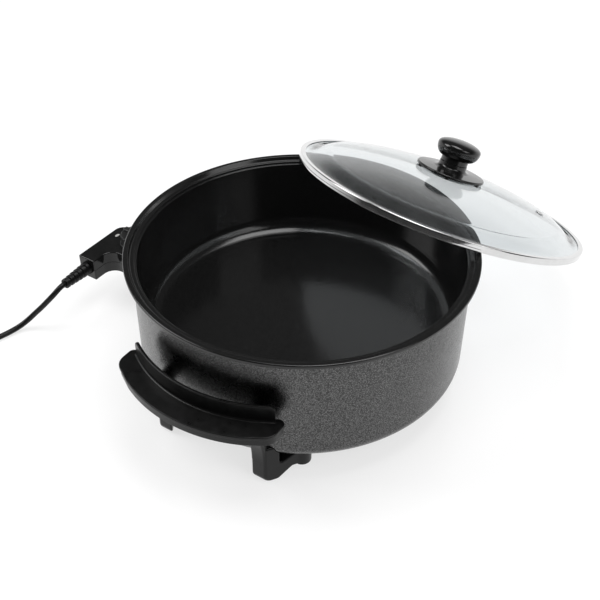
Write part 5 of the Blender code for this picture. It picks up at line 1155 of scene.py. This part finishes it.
def make_dial():
    """Skirt, fluted drum and grip bar of the dial."""
    place = Matrix.Translation((*DIAL_AXIS, HOUSING_TOP))
    skirt = rounded([(0, GAP, 0), (20, GAP, 0.4), (20, DIAL_SKIRT_TOP, 1.0),
                     (0, DIAL_SKIRT_TOP, 0)], 5)
    dial = lathe(skirt, MEDIUM, place)
    flutes = []
    count = DIAL_FLUTES * 8
    for i in range(count):
        angle = 2 * math.pi * i / count
        radius = 18.2 + 0.4 * math.cos(DIAL_FLUTES * angle)
        flutes.append((radius * math.cos(angle), radius * math.sin(angle)))
    join(dial, prism(flutes, edge_levels(0.6, DIAL_DRUM_TOP, 0, 1.0), place))
    join(dial, prism(rounded_box(17, 4, 2),
                     edge_levels(DIAL_SKIRT_TOP, DIAL_DRUM_TOP + 3.3, 0, 1.2), place))
    cut(dial, lathe(drum(DIAL_BORE, -PAST, 5.6), SMALL, place))
    return finish_piece(dial, "control_dial", DIAL, "dial", ["dial_knob"])


make_housing()
make_dial()


# Kept CAD pieces

def dress(material, *names):
    """Give pieces that stay as packed a material."""
    for name in names:
        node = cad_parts[name]
        node.data.materials.clear()
        node.data.materials.append(material)


dress(STEEL, "tie_bolt", "socket_screw_left", "socket_screw_right", "knob_screw", "dial_shaft",
      *[f"element_clip_{i}" for i in (1, 2, 3)], *[f"thermostat_screw_{i}" for i in (1, 2, 3)],
      *[f"handle_{kind}_{end}_{side}" for kind in ("screw", "nut") for end in ("front", "rear")
        for side in ("left", "right")])
dress(SHEATH, "heating_element")
dress(HANDLE, "socket_shroud")
dress(BRASS, "terminal_pin_left", "terminal_pin_right", "contact_sleeve_left",
      "contact_sleeve_right")
dress(NICKEL, "probe_rod", "plug_pin_left", "plug_pin_right", "plug_earth_clip_left",
      "plug_earth_clip_right")
dress(LENS, "pilot_lens")


# Stage and light

def make_floor():
    """White floor that keeps the object's shadow and a faint reflection of it."""
    mesh = bmesh.new()
    half = 6.0
    corners = [mesh.verts.new((x, y, 0)) for x, y in ((-half, -half), (half, -half),
                                                      (half, half), (-half, half))]
    mesh.faces.new(corners)
    floor = as_object(mesh, "floor")
    floor.location.z = -0.0002
    material = bpy.data.materials.new("floor_white")
    material.use_nodes = True
    tree = material.node_tree
    shader = tree.nodes["Principled BSDF"]
    shader.inputs["Base Color"].default_value = (0.86, 0.86, 0.86, 1)
    shader.inputs["Roughness"].default_value = 0.16
    shader.inputs["Specular IOR Level"].default_value = 0.5
    paths = add_node(tree, "ShaderNodeLightPath").outputs
    seen = reckon(tree, "MAXIMUM", paths["Is Camera Ray"], paths["Is Transmission Ray"])
    bright = reckon(tree, "MAXIMUM", seen, paths["Is Glossy Ray"])
    # The shadow is kept near the object, and far away the floor is plain white
    away = add_node(tree, "ShaderNodeVectorMath", {0: place_of(tree)}, operation="LENGTH")
    share = reckon(tree, "MULTIPLY", bright,
                   spread(tree, away.outputs["Value"], 0.63, 1.0, 0.7, 1.5))
    glow = add_node(tree, "ShaderNodeEmission", {"Color": (1, 1, 1, 1), "Strength": 1.07})
    mix_surface(tree, share, shader.outputs[0], glow.outputs[0])
    floor.data.materials.append(material)


def make_world():
    """White seen directly; gloss meets white only low behind the object."""
    world = bpy.data.worlds.new("world")
    bpy.context.scene.world = world
    world.use_nodes = True
    tree = world.node_tree
    background = tree.nodes["Background"]
    paths = add_node(tree, "ShaderNodeLightPath").outputs
    at = add_node(tree, "ShaderNodeTexCoord").outputs["Generated"]
    along = add_node(tree, "ShaderNodeVectorMath", {0: at, 1: (-0.54, 0.84, 0.0)},
                     operation="DOT_PRODUCT").outputs["Value"]
    behind = spread(tree, along, 0.05, 1.0, -0.35, 0.25)
    rise = add_node(tree, "ShaderNodeSeparateXYZ", {"Vector": at}).outputs["Z"]
    low = spread(tree, rise, 1.0, 0.09, 0.12, 0.40)
    white = reckon(tree, "MULTIPLY", low, behind)
    seen = reckon(tree, "MAXIMUM", paths["Is Camera Ray"], paths["Is Transmission Ray"])
    gloss = reckon(tree, "MULTIPLY", paths["Is Glossy Ray"], white)
    diffuse = reckon(tree, "MULTIPLY", paths["Is Diffuse Ray"], 0.55)
    level = reckon(tree, "MAXIMUM", reckon(tree, "MAXIMUM", seen, gloss), diffuse)
    background.inputs["Color"].default_value = (1, 1, 1, 1)
    tree.links.new(level, background.inputs["Strength"])


def make_lamp(name, location, target, size, power):
    data = bpy.data.lights.new(name, "AREA")
    data.shape = "RECTANGLE"
    data.size, data.size_y = size
    data.energy = power
    lamp = link(name, data)
    lamp.location = location
    aim = Vector(target) - Vector(location)
    lamp.rotation_euler = aim.to_track_quat("-Z", "Y").to_euler()


make_floor()
make_world()
make_lamp("key", (-1.5, -0.7, 1.7), (0, -0.05, 0.1), (1.0, 1.4), 26)
make_lamp("fill", (1.7, -0.2, 1.4), (0, -0.05, 0.1), (1.0, 1.2), 9)
make_lamp("top", (0.2, 0.3, 2.5), (0, 0, 0.1), (1.6, 1.2), 34)

scene = bpy.context.scene
scene.view_settings.view_transform = "Standard"
